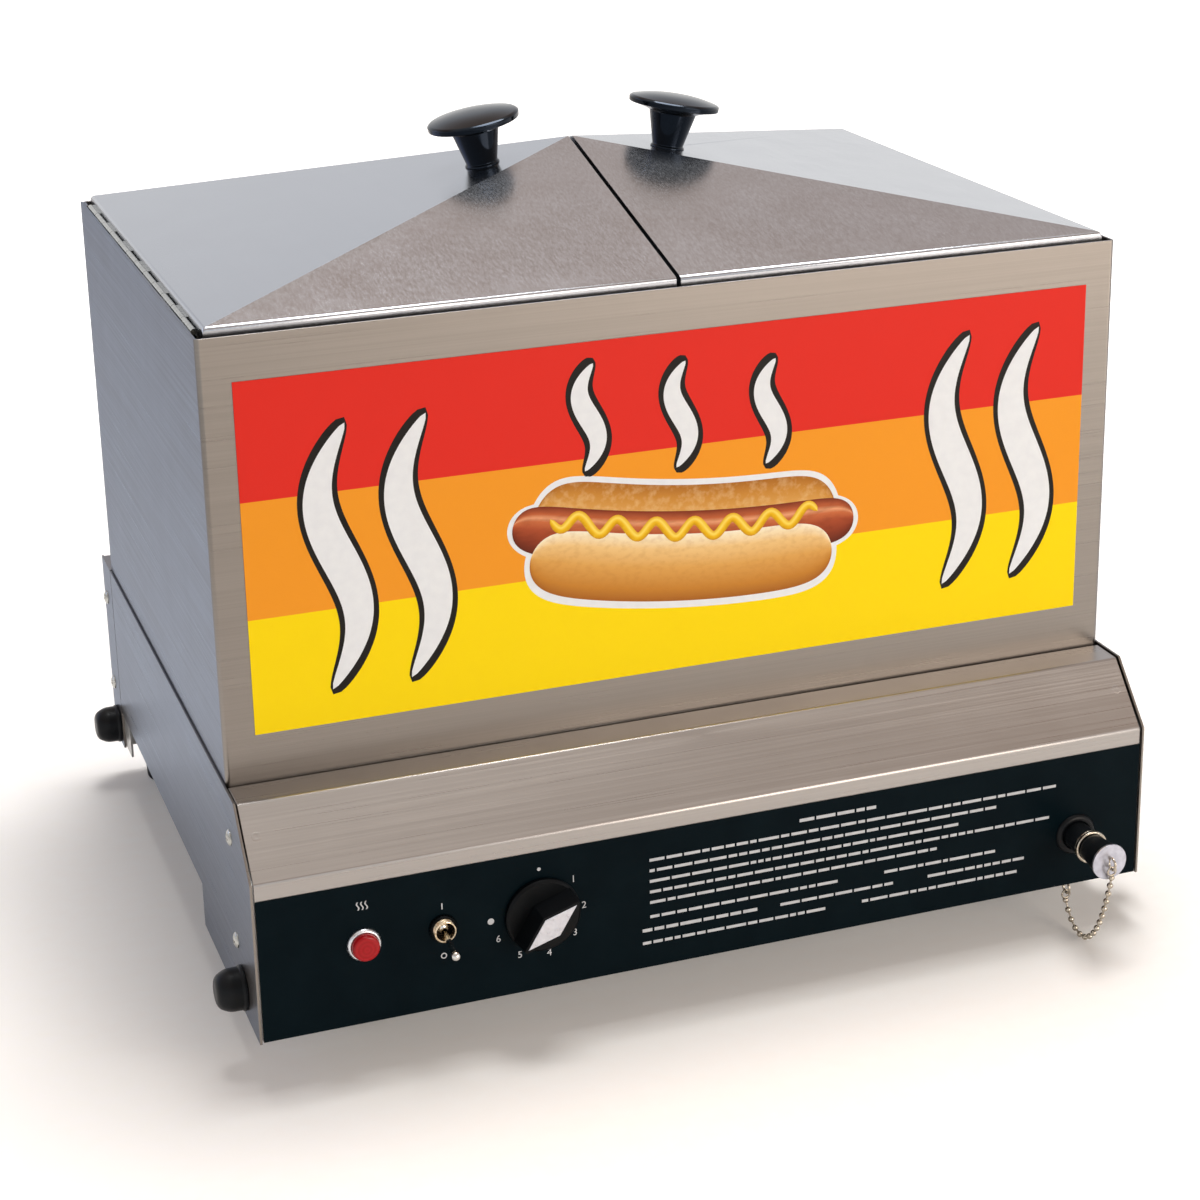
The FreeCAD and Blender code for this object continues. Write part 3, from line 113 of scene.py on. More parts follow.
# %% Patterns and finishes
def mottle(tree, place, size, detail=2.0):
    """A cloudy pattern between about 0 and 1. size is a cloud's width in millimetres, or one for each axis.

    It is gradient noise, whose values lie mostly between 0.3 and 0.7, spread to the full range."""
    scale = (1 / (MM * np.broadcast_to(size, 3))).tolist()
    fitted = add_node(tree, "Mapping", {"Vector": place, "Scale": scale})
    cloud = add_node(tree, "TexNoise", {"Vector": fitted, "Scale": 1.0, "Detail": detail})
    return add_node(tree, "MapRange", {"Value": cloud, "From Min": 0.3, "From Max": 0.7})


def layered(tree, under, *layers):
    """Colours laid over each other. A layer (share, colour) hides what lies under it by its share."""
    tone = linear(under)
    for share, colour in layers:
        inputs = {"Factor": share, "A": tone, "B": linear(colour)}
        tone = add_node(tree, "Mix", inputs, data_type="RGBA")
    return tone


def finish_material(material, gloss=None, relief=None, **inputs):
    """Ends a material in one Principled shader. An underscore in an input's name stands for a space.

    gloss (pattern, low, high) lets the roughness follow a pattern. relief (pattern, height) raises the
    surface where the pattern is high, by up to height millimetres."""
    tree = material.node_tree
    if gloss:
        spread = dict(zip(("Value", "To Min", "To Max"), gloss))
        inputs["Roughness"] = add_node(tree, "MapRange", spread)
    if relief:
        bump = {"Height": relief[0], "Distance": relief[1] * MM}
        inputs["Normal"] = add_node(tree, "Bump", bump)
    named = {name.replace("_", " "): value for name, value in inputs.items()}
    shader = add_node(tree, "BsdfPrincipled", named)
    add_node(tree, "OutputMaterial", {"Surface": shader})
    return material


# %% [markdown]
# ## Stainless steel
#
# The cabinet is folded from stainless sheet with a brushed finish: an abrasive belt leaves fine parallel
# scratches. They can't be seen one by one from a metre away, but they widen reflections across the grain
# and make the surface look softly striped. Real scratches are about 0.1 mm apart. Here they are 0.8 mm
# apart, as fine as the picture can show. The pattern is noise on the object's own coordinates, stretched
# along the grain, and the same noise drives a small change in colour, roughness and height.

# %% Brushed steel
# The patterns' widths in millimetres: scratches across and along the grain, clouds and finger marks.
GRAIN, ALONG = 0.8, 200.0
CLOUDS, FINGERS = 143.0, 26.3


def brushed_steel(name, dark, light, size, rough=(0.27, 0.38), edge="#FFFFFF", stretch=0.3):
    """Satin stainless sheet: scratches along the grain, slow clouds of tone and faint finger marks.

    size is the grain's, in millimetres along x, y and z: short across the scratches, long along them.
    edge tints what it mirrors at a glancing angle. A bluish edge, as on the walls, is a painted cool
    reflection.
    stretch draws reflections out across the grain."""
    material, tree, place = new_material(name)
    grain = mottle(tree, place, size, detail=3.0)
    clouds = mottle(tree, place, CLOUDS)
    fingers = mottle(tree, place, FINGERS, detail=3.0)
    dull = add_node(tree, "MapRange", {"Value": clouds, "To Max": 0.25})
    low, high = rough
    scratch = add_node(tree, "MapRange", {"Value": grain, "To Min": low, "To Max": high})
    touch = add_node(tree, "MapRange", {"Value": fingers, "To Min": -0.012, "To Max": 0.012})
    return finish_material(
        material,
        relief=(grain, 0.0015),
        Base_Color=layered(tree, dark, (grain, light), (dull, dark)),
        Metallic=1.0,
        Roughness=add_node(tree, "Math", {0: scratch, 1: touch}, operation="ADD"),
        Specular_Tint=linear(edge),
        Anisotropic=stretch,
    )


# The walls' grain is level. Their colour is the steel painted darker, as painted shade for the darker room
# they mirror.
# Seen from the side they mirror the cool part of the room, and their bluish edge tint adds a painted cool
# reflection.
steel_wall = brushed_steel(
    "stainless_walls_painted_darker", "#87817B", "#8E8882", (ALONG, ALONG, GRAIN), edge="#CBDAF1"
)
# The front faces the warm light, and its colour is the steel painted paler, as a painted highlight. It has
# level streaks.
steel_front = brushed_steel("stainless_front_painted_paler", "#A6A29F", "#ADA9A6", (ALONG, GRAIN, GRAIN))
# The lids are smoother, so they mirror the knobs as soft dark spots. Their colour is the steel painted
# paler and bluish, as a painted reflection. They aren't stretched, because the stretch would turn with
# each lid's faces and show as a step in brightness along the seam.
steel_lid = brushed_steel(
    "stainless_lids_painted_paler_bluish", "#AFB2B8", "#B6B9BF", (GRAIN, ALONG, GRAIN), rough=(0.19, 0.25), stretch=0.0
)
# Inside, the sheet is as the mill rolled it: cloudy, with no grain.
steel_inner = brushed_steel("mill_finish_stainless", "#B0B0AE", "#BBBBB9", 16.7, rough=(0.30, 0.42))

# %% [markdown]
# ## Small metal parts
#
# The screws, the switch, the lamp's bezel and the ball chain are plated, and a few others are bare
# aluminium, copper or blackened steel. Each is a smooth metal. What makes it look real is a trace of
# unevenness, so one faint noise moves its colour, its roughness and its height.

# %% Plated and bare metal
def metal(name, colour, shade, rough=(0.06, 0.16), patch=2.5):
    """A metal without grain: colour with darker patches of shade, and a roughness that wanders in a range.

    patch is a patch's width in millimetres."""
    material, tree, place = new_material(name)
    patches = mottle(tree, place, patch)
    tone = layered(tree, shade, (patches, colour))
    return finish_material(material, (patches, *rough), (patches, 0.004), Base_Color=tone, Metallic=1.0)


# Polished chrome mirrors the room in sharp light and dark bands.
chrome = metal("bright_chrome_plate", "#D9D9D6", "#C2C2BE")
# The chain's nickel is warm and a little dull, so each bead has a soft highlight and a dark side.
nickel = metal("warm_nickel_plate", "#D2CBBE", "#9E9484", rough=(0.12, 0.25), patch=1.1)
# Zinc on screws and hinges is a cloudy grey.
zinc = metal("zinc_plated_steel", "#BDBDB8", "#9C9C97", rough=(0.18, 0.30))
# On the switch's thread, brass shows through thin nickel as a yellowish shade.
brass_thread = metal("nickel_plated_brass", "#E9DEC9", "#AA9068", rough=(0.12, 0.26), patch=0.9)
# The ring nut is near black, with dull highlights on its teeth.
black_oxide = metal("black_oxide_steel", "#1A1C1E", "#0E1011", rough=(0.35, 0.50), patch=1.5)
# The dial's pointer is an even silver with no clear reflection.
inlay_silver = metal("brushed_aluminium_inlay", "#D6D8E0", "#C6C8D0", rough=(0.26, 0.34), patch=3.0)
# The bezel is a soft pale ring with one broad highlight.
bezel_satin = metal("satin_nickel_bezel", "#E4E6EA", "#CDD0D5", rough=(0.22, 0.34), patch=1.4)
# The plug's disc was tumbled with grit: pale and matt.
disc_aluminium = metal("tumbled_aluminium", "#C4C6D2", "#B0B2BF", rough=(0.32, 0.44))
# The thermostat's bulb is drawn copper, brownish where it was handled.
copper = metal("drawn_copper", "#B87A55", "#8F5638", rough=(0.25, 0.38))
# Heat has turned the element's steel sheath dark and dull in long patches.
sheath = metal("heat_darkened_steel", "#5A534C", "#37322E", rough=(0.38, 0.55), patch=7.0)

# %% [markdown]
# ## Plastics and rubber
#
# The lid knobs are moulded phenolic, a hard glossy plastic: black, with a sharp clear reflection. The
# feet, bumpers, plug and hose are rubber: also black, but with wide dull highlights and a fine powdery
# grain. The control panel's face is a printed vinyl film with a soft satin texture.

# %% Moulded surfaces
PATCHES = 22.2


def moulded(name, colour, worn, rough, grain, height, gloss_level=0.5, tint="#FFFFFF"):
    """A moulded surface: colour, a slightly paler worn tone in patches, and a grain.

    grain is the grain's width and height its relief, in millimetres. gloss_level is how strongly it
    mirrors: 0.5 is clear plastic, and a matt film mirrors less. tint colours what it mirrors."""
    material, tree, place = new_material(name)
    powder = mottle(tree, place, grain, detail=3.0)
    patches = mottle(tree, place, PATCHES, detail=3.0)
    return finish_material(
        material,
        (patches, *rough),
        (powder, height),
        Base_Color=layered(tree, colour, (patches, worn)),
        Specular_IOR_Level=gloss_level,
        Specular_Tint=linear(tint),
    )


# Smooth from a polished mould: it mirrors the room clearly, with a bluish tint that is a painted cool
# reflection.
phenolic = moulded(
    "moulded_black_phenolic", "#05080B", "#090D11", (0.08, 0.16), 3.0, 0.004, 0.35, tint="#AFC6E8"
)
# The dial's gloss has gone dull from many fingers, so it stays deep black.
dial_black = moulded("handled_black_phenolic", "#06080A", "#0B0E11", (0.30, 0.40), 2.0, 0.006, 0.12)
# Rubber's powdery grain spreads each highlight.
rubber = moulded("moulded_black_rubber", "#070A0E", "#0D1115", (0.32, 0.42), 0.7, 0.015, 0.18)
hose = moulded("extruded_rubber_hose", "#0A0D10", "#12161A", (0.34, 0.46), 1.2, 0.015, 0.3)
# The panel's film is a cool near-black that hardly mirrors anything.
overlay_film = moulded("satin_vinyl_overlay", "#020E14", "#051319", (0.36, 0.44), 0.6, 0.006, 0.04)
# Behind the panel are matt nylon, brown pressed phenolic and cream silicone.
lamp_holder = moulded("moulded_nylon", "#1A1815", "#24211D", (0.40, 0.55), 0.9, 0.01)
brown_phenolic = moulded("pressed_brown_phenolic", "#2B1D14", "#3A281C", (0.30, 0.42), 0.9, 0.01)
silicone = moulded("silicone_wire_jacket", "#C9C1B2", "#B4AB9B", (0.45, 0.60), 1.5, 0.01)

# %% [markdown]
# ## The lamp's lens
#
# The pilot lamp has a red acrylic lens, moulded with fine ribs inside that throw most of the light back,
# so only a tenth of it passes. The ribs are rings about the lamp's axis, 2 mm apart, in colour and in
# height, and a little emission stands in for the neon bulb that glows inside.

# %% Red acrylic
lamp_x, lamp_z = -179.0 * MM, 67.6 * MM
RIBS = 1.963


def red_acrylic():
    """Red plastic with ribs: a sine of the distance from the lamp's axis, one wave in RIBS millimetres.

    A ring texture of scale 1 has 20 waves in 2 pi metres."""
    material, tree, place = new_material("moulded_red_acrylic")
    centre = {"Vector": place, "Location": (lamp_x, 0.0, lamp_z)}
    fitted = add_node(tree, "Mapping", centre, vector_type="TEXTURE")
    flat = add_node(tree, "VectorMath", {0: fitted, 1: (1.0, 0.0, 1.0)}, operation="MULTIPLY")
    ribs = add_node(
        tree,
        "TexWave",
        {"Vector": flat, "Scale": 2 * math.pi / (20 * RIBS * MM)},
        wave_type="RINGS",
        rings_direction="SPHERICAL",
    ).outputs["Fac"]
    return finish_material(
        material,
        relief=(ribs, 0.02),
        Base_Color=layered(tree, "#96040C", (ribs, "#A80A14")),
        Roughness=0.14,
        Specular_IOR_Level=0.25,
        Transmission_Weight=0.1,
        Emission_Color=linear("#C00A14"),
        Emission_Strength=0.08,
    )


lens_red = red_acrylic()

# %% [markdown]
# ## Inks
#
# The sign and the control panel are screen-printed: each ink is an even film with a slight gloss, a
# touch uneven in thickness. The sign's background is three flat bands, so its material compares the
# height of a point with the two borders between them.

# %% Printed films
INK_GLOSS = 0.15
sign_low, sign_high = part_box("sign_panel")
band = (sign_high.z - sign_low.z) / 3


def ink(name, colour, shade, rough=0.30):
    """An even printed film, with a faint mottle between two close tones."""
    material, tree, place = new_material(name)
    cloud = mottle(tree, place, 4.545)
    tone = layered(tree, colour, (cloud, shade))
    return finish_material(
        material, relief=(cloud, 0.0008), Base_Color=tone, Roughness=rough, Specular_IOR_Level=INK_GLOSS
    )


def sign_bands():
    """Three bands: yellow below the first border, orange up to the second, and red above it."""
    material, tree, place = new_material("screen_printed_bands")
    height = add_node(tree, "SeparateXYZ", {"Vector": place}).outputs["Z"]
    cloud = mottle(tree, place, 5.556)
    layers = []
    for step, colour in ((1, "#F29C2A"), (2, "#DF3026")):
        border = {0: height, 1: sign_low.z + step * band}
        layers.append((add_node(tree, "Math", border, operation="GREATER_THAN"), colour))
    tone = layered(tree, "#FCDD0A", *layers)
    return finish_material(
        material, relief=(cloud, 0.003), Base_Color=tone, Roughness=0.28, Specular_IOR_Level=0.1
    )


bands = sign_bands()
ink_white = ink("white_screen_ink", "#EAEFF4", "#E5EAF0")
ink_black = ink("black_screen_ink", "#14110F", "#1D1A17")
ink_grey = ink("pale_grey_screen_ink", "#C9CDD2", "#B9BDC3", rough=0.4)

# %% [markdown]
# The food in the picture is shaded print: the tone changes from the lower to the upper edge of each
# shape, which makes it look round, and small specks break it up. The change follows the film's own UV
# map, so it bends with the shape.

# %% Shaded inks
def stepped(tree, measure, steps):
    """Layers for steps (low, high, colour): the share goes from 0 to 1 as the measure goes low to high."""
    return [
        (add_node(tree, "MapRange", {"Value": measure, "From Min": low, "From Max": high}), colour)
        for low, high, colour in steps
    ]


def food_ink(name, stops, speck, speck_size, speck_share):
    """Shaded print: colours across the film from its lower to its upper edge, with specks of a tone.

    stops are (share of the width, colour). Each step between two stops is one linear blend. The specks
    have a size in millimetres, and hide at most speck_share of what is under them."""
    material, tree, place = new_material(name)
    film = add_node(tree, "UVMap", uv_map="film")
    across = add_node(tree, "SeparateXYZ", {"Vector": film}).outputs["Y"]
    steps = [(low, high, colour) for (low, _), (high, colour) in zip(stops, stops[1:])]
    specks = mottle(tree, place, speck_size, detail=4.0)
    some = add_node(tree, "MapRange", {"Value": specks, "From Min": 0.4, "To Max": speck_share})
    tone = layered(tree, stops[0][1], *stepped(tree, across, steps), (some, speck))
    return finish_material(material, Base_Color=tone, Roughness=0.3, Specular_IOR_Level=INK_GLOSS)


crust_ink = food_ink(
    "bread_crust_print",
    [
        (0.0, "#A5611F"), (0.18, "#C5832F"), (0.5, "#DDA556"),
        (0.78, "#EFC988"), (0.93, "#F7E6C0"), (1.0, "#FBF1DA"),
    ],
    "#B4732B", (3.846, 3.846, 2.381), 0.2,
)
crumb_ink = food_ink(
    "bread_crumb_print",
    [(0.0, "#F6E3B8"), (0.35, "#F3D79F"), (0.6, "#E0AA5C"), (0.85, "#C98A38"), (1.0, "#A9681F")],
    "#F3D9A8", 3.125, 0.25,
)
sausage_ink = food_ink(
    "sausage_print",
    [
        (0.0, "#5E2413"), (0.25, "#8C3A1F"), (0.5, "#A94D2A"), (0.68, "#C96E42"),
        (0.76, "#E6A276"), (0.84, "#BF6238"), (1.0, "#7C2F19"),
    ],
    "#6B2A16", (8.333, 8.333, 3.333), 0.3,
)
mustard_ink = food_ink(
    "mustard_print",
    [(0.0, "#C98F06"), (0.4, "#F0BE14"), (0.65, "#FBE065"), (1.0, "#E4AC0C")],
    "#F7D33A", 2.5, 0.3,
)

# %% [markdown]
# ## Materials for the CAD nodes
#
# A CAD node keeps its shape and gets a material. A node that a new piece replaces later gets one too.

# %% Assign the materials
looks = [
    (steel_wall, "cabinet_shell cabinet_back base_left_side base_right_side base_back"),
    (steel_front, "base_hood"),
    (steel_lid, "left_lid right_lid"),
    (steel_inner, "lid_ledges divider water_pan hot_dog_tray base_floor hood_end_brackets"),
    (steel_inner, "rear_corner_brackets element_clamps"),
    (chrome, "bun_rack toggle_lever"),
    (zinc, "left_knob_screw right_knob_screw thermostat_screws thermostat_shaft side_screws"),
    (zinc, "left_hinge_wall_leaf left_hinge_lid_leaf left_hinge_pin"),
    (zinc, "right_hinge_wall_leaf right_hinge_lid_leaf right_hinge_pin"),
    (nickel, "plug_eye chain_anchor drain_collar drain_chain"),
    (brass_thread, "toggle_bushing"),
    (black_oxide, "toggle_nut"),
    (bezel_satin, "pilot_lamp_bezel"),
    (disc_aluminium, "plug_disc"),
    (copper, "thermostat_bulb"),
    (sheath, "heating_element"),
    (phenolic, "left_lid_knob right_lid_knob"),
    (dial_black, "thermostat_knob"),
    (inlay_silver, "thermostat_knob_inlay"),
    (rubber, "side_bumpers feet drain_grommet drain_plug cord_gland"),
    (hose, "drain_tube"),
    (lamp_holder, "pilot_lamp_body"),
    (brown_phenolic, "toggle_switch_body terminal_block thermostat_body"),
    (silicone, "internal_wires"),
    (lens_red, "pilot_lamp_lens"),
    (bands, "sign_panel"),
    (overlay_film, "control_overlay"),
]
dressed = [(name, material) for material, names in looks for name in names.split()]
for name, material in dressed:
    mesh = nodes[name].data
    mesh.materials.clear()
    mesh.materials.append(material)
print("nodes without a material:", sorted(set(nodes) - {name for name, _ in dressed}))

# %% [markdown]
# Folded sheet also gets two modifiers: Weld joins the loose triangles that the file holds, and Bevel
# rounds the edges by a quarter of a millimetre, or half of that on thin film. It gives each edge the fine
# bright line that real sheet metal shows.

# %% Weld and bevel
MERGE = 0.002 * MM
SHEET_EDGE, FILM_EDGE = 0.25 * MM, 0.12 * MM
sheet_parts = (
    "cabinet_shell cabinet_back base_left_side base_right_side base_back base_hood left_lid right_lid"
    " thermostat_knob thermostat_knob_inlay plug_disc divider water_pan lid_ledges"
).split()
film_parts = ["control_overlay", "sign_panel"]
for name in sheet_parts + film_parts:
    join = nodes[name].modifiers.new("weld", "WELD")
    join.merge_threshold = MERGE
    edge = nodes[name].modifiers.new("edge", "BEVEL")
    edge.width = FILM_EDGE if name in film_parts else SHEET_EDGE
    edge.segments = 2
    edge.limit_method = "ANGLE"
    edge.angle_limit = math.radians(40)
print("nodes with softer edges:", len(sheet_parts + film_parts))

# %% [markdown]
# ## New pieces
#
# Nearly every new piece is a surface over a grid of points. Rows run one way, columns the other, and each
# cell of the grid becomes one four-sided face. The columns close into rings. Points that fall together,
# as on the axis of a turned piece, are merged, which closes the poles.

# %% Pieces from grids of points
def add_object(name, data):
    """A new object in the scene."""
    made = bpy.data.objects.new(name, data)
    bpy.context.scene.collection.objects.link(made)
    return made


def add_piece(name, mesh, material, body=None, node=None):
    """Makes a piece from a mesh. It rides on a CAD body if one is given, and may stand for a CAD node."""
    piece = add_object(name, mesh)
    mesh.materials.append(material)
    if body:
        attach(piece, body)
    if node:
        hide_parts(node)
    print(name, "faces", len(mesh.polygons))
    return piece


def grid_faces(rows, columns):
    """Cell (i, j) joins points (i, j), (i, j + 1), (i + 1, j + 1) and (i + 1, j), and columns wrap round."""
    number = np.arange(rows * columns).reshape(rows, columns)
    number = np.concatenate([number, number[:, :1]], axis=1)
    low, high = number[:-1], number[1:]
    return np.stack([low[:, :-1], low[:, 1:], high[:, 1:], high[:, :-1]], axis=-1).reshape(-1, 4)


def weld(mesh):
    """Merges points closer than MERGE and turns every face outwards."""
    shape = bmesh.new()
    shape.from_mesh(mesh)
    bmesh.ops.remove_doubles(shape, verts=shape.verts, dist=MERGE)
    bmesh.ops.recalc_face_normals(shape, faces=shape.faces)
    shape.to_mesh(mesh)
    shape.free()


def surface(name, grids, sharp=35.0, shares=None):
    """One mesh from several grids of points, each an array of rows by columns by 3.

    shares, where given, holds a grid of (along, across) for each grid, which becomes the UV map.
    An edge that turns by more than sharp degrees stays crisp."""
    faces, start = [], 0
    for grid in grids:
        faces.append(grid_faces(*grid.shape[:2]) + start)
        start += grid.shape[0] * grid.shape[1]
    faces = np.concatenate(faces)
    points = np.concatenate([grid.reshape(-1, 3) for grid in grids])
    mesh = bpy.data.meshes.new(name)
    mesh.from_pydata(points.tolist(), [], faces.tolist())
    if shares:
        uv = np.concatenate([share.reshape(-1, 2) for share in shares])[faces.ravel()]
        mesh.uv_layers.new(name="film").data.foreach_set("uv", uv.astype(np.float32).ravel())
    weld(mesh)
    mesh.shade_smooth()
    mesh.set_sharp_from_angle(angle=math.radians(sharp))
    return mesh


def grid_piece(name, grids, material, body="frame", node=None, sharp=35.0):
    """A piece from grids of points."""
    return add_piece(name, surface(name, grids, sharp), material, body, node)


# %% [markdown]
# A round part is a profile turned about an axis. The profile is a list of corners, each with the size of
# its rounding, because a moulded or machined part has no knife edges, and small roundings catch the light.

# %% Profiles and turned forms
def rounded(corners, steps=5):
    """A profile through corners (r, h, size). Each corner becomes a curve that starts and ends size away.

    The curve is (1 - t)^2 start + 2 t (1 - t) corner + t^2 end, a quadratic one, for t from 0 to 1."""
    line = []
    t = np.linspace(0, 1, steps)[:, None]
    for i, (r, h, size) in enumerate(corners):
        here = np.array([r, h])
        if not size:
            line.append(here[None])
            continue
        before = np.array(corners[i - 1][:2]) - here
        after = np.array(corners[i + 1][:2]) - here
        start = here + before / np.linalg.norm(before) * size
        end = here + after / np.linalg.norm(after) * size
        line.append((1 - t) ** 2 * start + 2 * t * (1 - t) * here + t**2 * end)
    return np.concatenate(line) * MM


def full_turn(around):
    """The angles 2 pi j / around, from 0 to just under a full turn."""
    return np.arange(around) * 2 * math.pi / around


def rings(r, h, angle):
    """Points (r cos(angle), r sin(angle), h). A column of radii and heights gives one ring in each row."""
    return np.stack(np.broadcast_arrays(r * np.cos(angle), r * np.sin(angle), h), axis=-1)


def placed(points, base, axis):
    """Turns points drawn about +Z so that +Z becomes axis, then moves them to base."""
    turn = Vector((0, 0, 1)).rotation_difference(Vector(axis)).to_matrix()
    return points @ np.array(turn).T + np.array(base)


def turned(profile, base, axis, around=48):
    """A turned surface: point (i, j) is at radius r_i, height h_i and angle 2 pi j / around."""
    return placed(rings(profile[:, :1], profile[:, 1:], full_turn(around)), base, axis)


# %% [markdown]
# ## Lid knobs
#
# Each lid has a mushroom knob: a foot, a neck that widens upwards and a flat cap with a thin rim and a
# slightly domed top. It stands square to the lid's slope.

# %% Knobs
lid_low, lid_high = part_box("left_lid")
lid_edge_z = 353.0 * MM
rise, run = lid_high.z - lid_edge_z, lid_high.x - lid_low.x
knob_x, knob_y = 50.0 * MM, 21.0 * MM
knob_z = lid_high.z - rise * (knob_x + lid_high.x) / run
knob_axis = Vector((rise, 0, run)).normalized()
knob_profile = rounded(
    [
        (0.0, 0.0, 0), (8.9, 0.0, 0.3), (8.7, 0.9, 0.5), (8.0, 1.5, 0.4), (12.2, 18.6, 0.8),
        (19.6, 20.8, 1.6), (23.2, 21.6, 0.5), (23.4, 24.1, 0.4), (22.2, 25.0, 0.5), (13.0, 27.2, 6.0),
        (0.0, 28.0, 0),
    ],
    steps=7,
)
for side, body in ((-1, "left_lid"), (1, "right_lid")):
    base, axis = (side * knob_x, knob_y, knob_z), (side * knob_axis.x, 0.0, knob_axis.z)
    grid = turned(knob_profile, base, axis, around=96)
    grid_piece(body + "_knob_moulding", [grid], phenolic, body, body + "_knob")

# %% [markdown]
# ## Rubber bumpers and feet
#
# Two bumpers stand out from each side of the base, and four feet carry it. They are turned profiles too:
# a short straight wall and a rounded end.

# %% Bumpers and feet
side_x = 230.3 * MM
bumper_profile = rounded(
    [
        (0.0, 0.0, 0), (10.9, 0.0, 0.5), (10.9, 1.6, 0.6), (10.3, 2.2, 0.5), (10.2, 8.0, 2.0),
        (7.4, 13.9, 3.4), (0.0, 14.0, 0),
    ],
    steps=8,
)
bumper_spots = [(-143.35 * MM, 40.5 * MM), (194.25 * MM, 37.0 * MM)]
grids = [
    turned(bumper_profile, (side * side_x, y, z), (side, 0, 0)) for side in (-1, 1) for y, z in bumper_spots
]
grid_piece("side_bumper_rubber", grids, rubber, node="side_bumpers")

foot_profile = rounded(
    [
        (0.0, 0.0, 0), (8.4, 0.0, 1.2), (9.6, 2.0, 1.2), (10.2, 12.0, 3.0), (10.9, 25.0, 0.6),
        (10.9, 26.0, 0), (0.0, 26.0, 0),
    ]
)
foot_spots = [(174.0 * MM, -118.75 * MM), (207.0 * MM, 192.25 * MM)]
grids = [turned(foot_profile, (side * x, y, 0.0), (0, 0, 1)) for side in (-1, 1) for x, y in foot_spots]
grid_piece("rubber_feet", grids, rubber, node="feet")

# %% [markdown]
# ## Screws
#
# Eight pan-head screws with cross recesses hold the sides of the base. The head is a turned dome. The
# recess is cut by lowering the points that lie within the cross: a point at (x, y) is in it where the
# smaller of |x| and |y| is under half a slot's width and the larger is under the cross's reach.

# %% Cross-recess screws
def cross_head(base, axis, radius=4.0, height=1.5, wall=0.35, half_slot=0.5, reach=2.2, depth=1.0):
    """A domed head in millimetres: its height is wall + height (1 - (r / radius)^2.6), less the recess.

    The recess's sides slope over 0.18 mm and its ends over 0.5 mm."""
    r = np.concatenate([np.linspace(0, reach * 1.25, 16), np.linspace(reach * 1.4, radius, 6)])[:, None]
    angle = full_turn(64)
    x, y = np.abs(r * np.cos(angle)), np.abs(r * np.sin(angle))
    across = np.clip((half_slot - np.minimum(x, y)) / 0.18, 0, 1)
    along = np.clip((reach - np.maximum(x, y)) / 0.5, 0, 1)
    dome = rings(r, height * (1 - (r / radius) ** 2.6) + wall - depth * across * along, angle)
    foot = rings(radius, 0.0, angle)[None]
    return placed(np.concatenate([dome, foot]) * MM, base, axis)


screw_spots = [(y * MM, z * MM) for y in (-133.75, 200.75) for z in (60.5, 113.5)]
grids = [cross_head((side * side_x, y, z), (side, 0, 0)) for side in (-1, 1) for y, z in screw_spots]
grid_piece("side_screw_heads", grids, zinc, node="side_screws", sharp=50)

# %% [markdown]
# ## Pilot lamp and toggle switch
#
# The lamp has a satin bezel with a rounded lip round its red lens. The switch stands on a threaded
# bushing, held by a round nut. The radius of a thread depends on height and angle together, so its crest
# climbs by one pitch in each turn.

# %% Lamp
face_y = -172.65 * MM
front = (0, -1, 0)


def panel_piece(name, node, base, corners, steps, material, body="frame"):
    """A turned piece on the control panel. The heights in its profile are how far it stands out."""
    grid = turned(rounded(corners, steps), base, front, around=64)
    return grid_piece(name, [grid], material, body, node)


lamp_base = (lamp_x, face_y, lamp_z)
bezel_corners = [
    (6.6, 0.0, 0), (8.3, 0.0, 0.1), (8.3, 1.0, 0.6), (7.3, 2.4, 0.7), (6.6, 2.2, 0.3), (6.6, 0.9, 0),
    (6.6, 0.0, 0),
]
panel_piece("lamp_bezel_ring", "pilot_lamp_bezel", lamp_base, bezel_corners, 6, bezel_satin)
lens_corners = [(0.0, 0.9, 0), (5.2, 0.9, 0.2), (6.5, 2.0, 0.4), (6.4, 5.6, 1.2), (0.0, 6.4, 0)]
panel_piece("lamp_lens_dome", "pilot_lamp_lens", lamp_base, lens_corners, 8, lens_red)


# %% Threaded bushing and nut
def threaded_sleeve(base, radius=5.4, depth=0.3, pitch=0.8, low=-1.7, high=4.9, bore=4.35, steps=10):
    """A threaded sleeve. Its outer radius is R - d * |2 frac(h / pitch - angle / 2 pi) - 1|."""
    angle = full_turn(48)
    h = np.arange(low, high, pitch / steps)[:, None]
    saw = np.abs(2 * np.mod(h / pitch - angle / (2 * math.pi), 1.0) - 1)
    rows = [rings(radius - depth * saw, h, angle)]
    mouth = ((radius - depth, high), (bore + 0.2, high + 0.1), (bore, high - 0.2), (bore, low))
    rows += [rings(r, h_end, angle)[None] for r, h_end in mouth]
    rows.append(rows[0][:1])
    return placed(np.concatenate(rows) * MM, base, front)


def knurled_nut(base, radius=6.8, bore=5.45, height=2.0, teeth=28, depth=0.18):
    """A round nut: its wall's radius is R - d (1 - cos(n angle)) / 2, smooth again at both rims."""
    angle = full_turn(teeth * 6)
    tooth = depth * (1 - np.cos(teeth * angle)) / 2
    profile = (
        (bore, 0.0, 0), (radius - 0.3, 0.0, 0), (radius, 0.3, 1), (radius, height - 0.9, 1),
        (radius - 0.15, height - 0.6, 0), (radius - 0.5, height - 0.1, 0), (radius - 0.8, height, 0),
        (bore + 0.15, height, 0), (bore, height - 0.15, 0), (bore, 0.0, 0),
    )
    rows = [rings(r - share * tooth, h, angle) for r, h, share in profile]
    return placed(np.stack(rows) * MM, base, front)


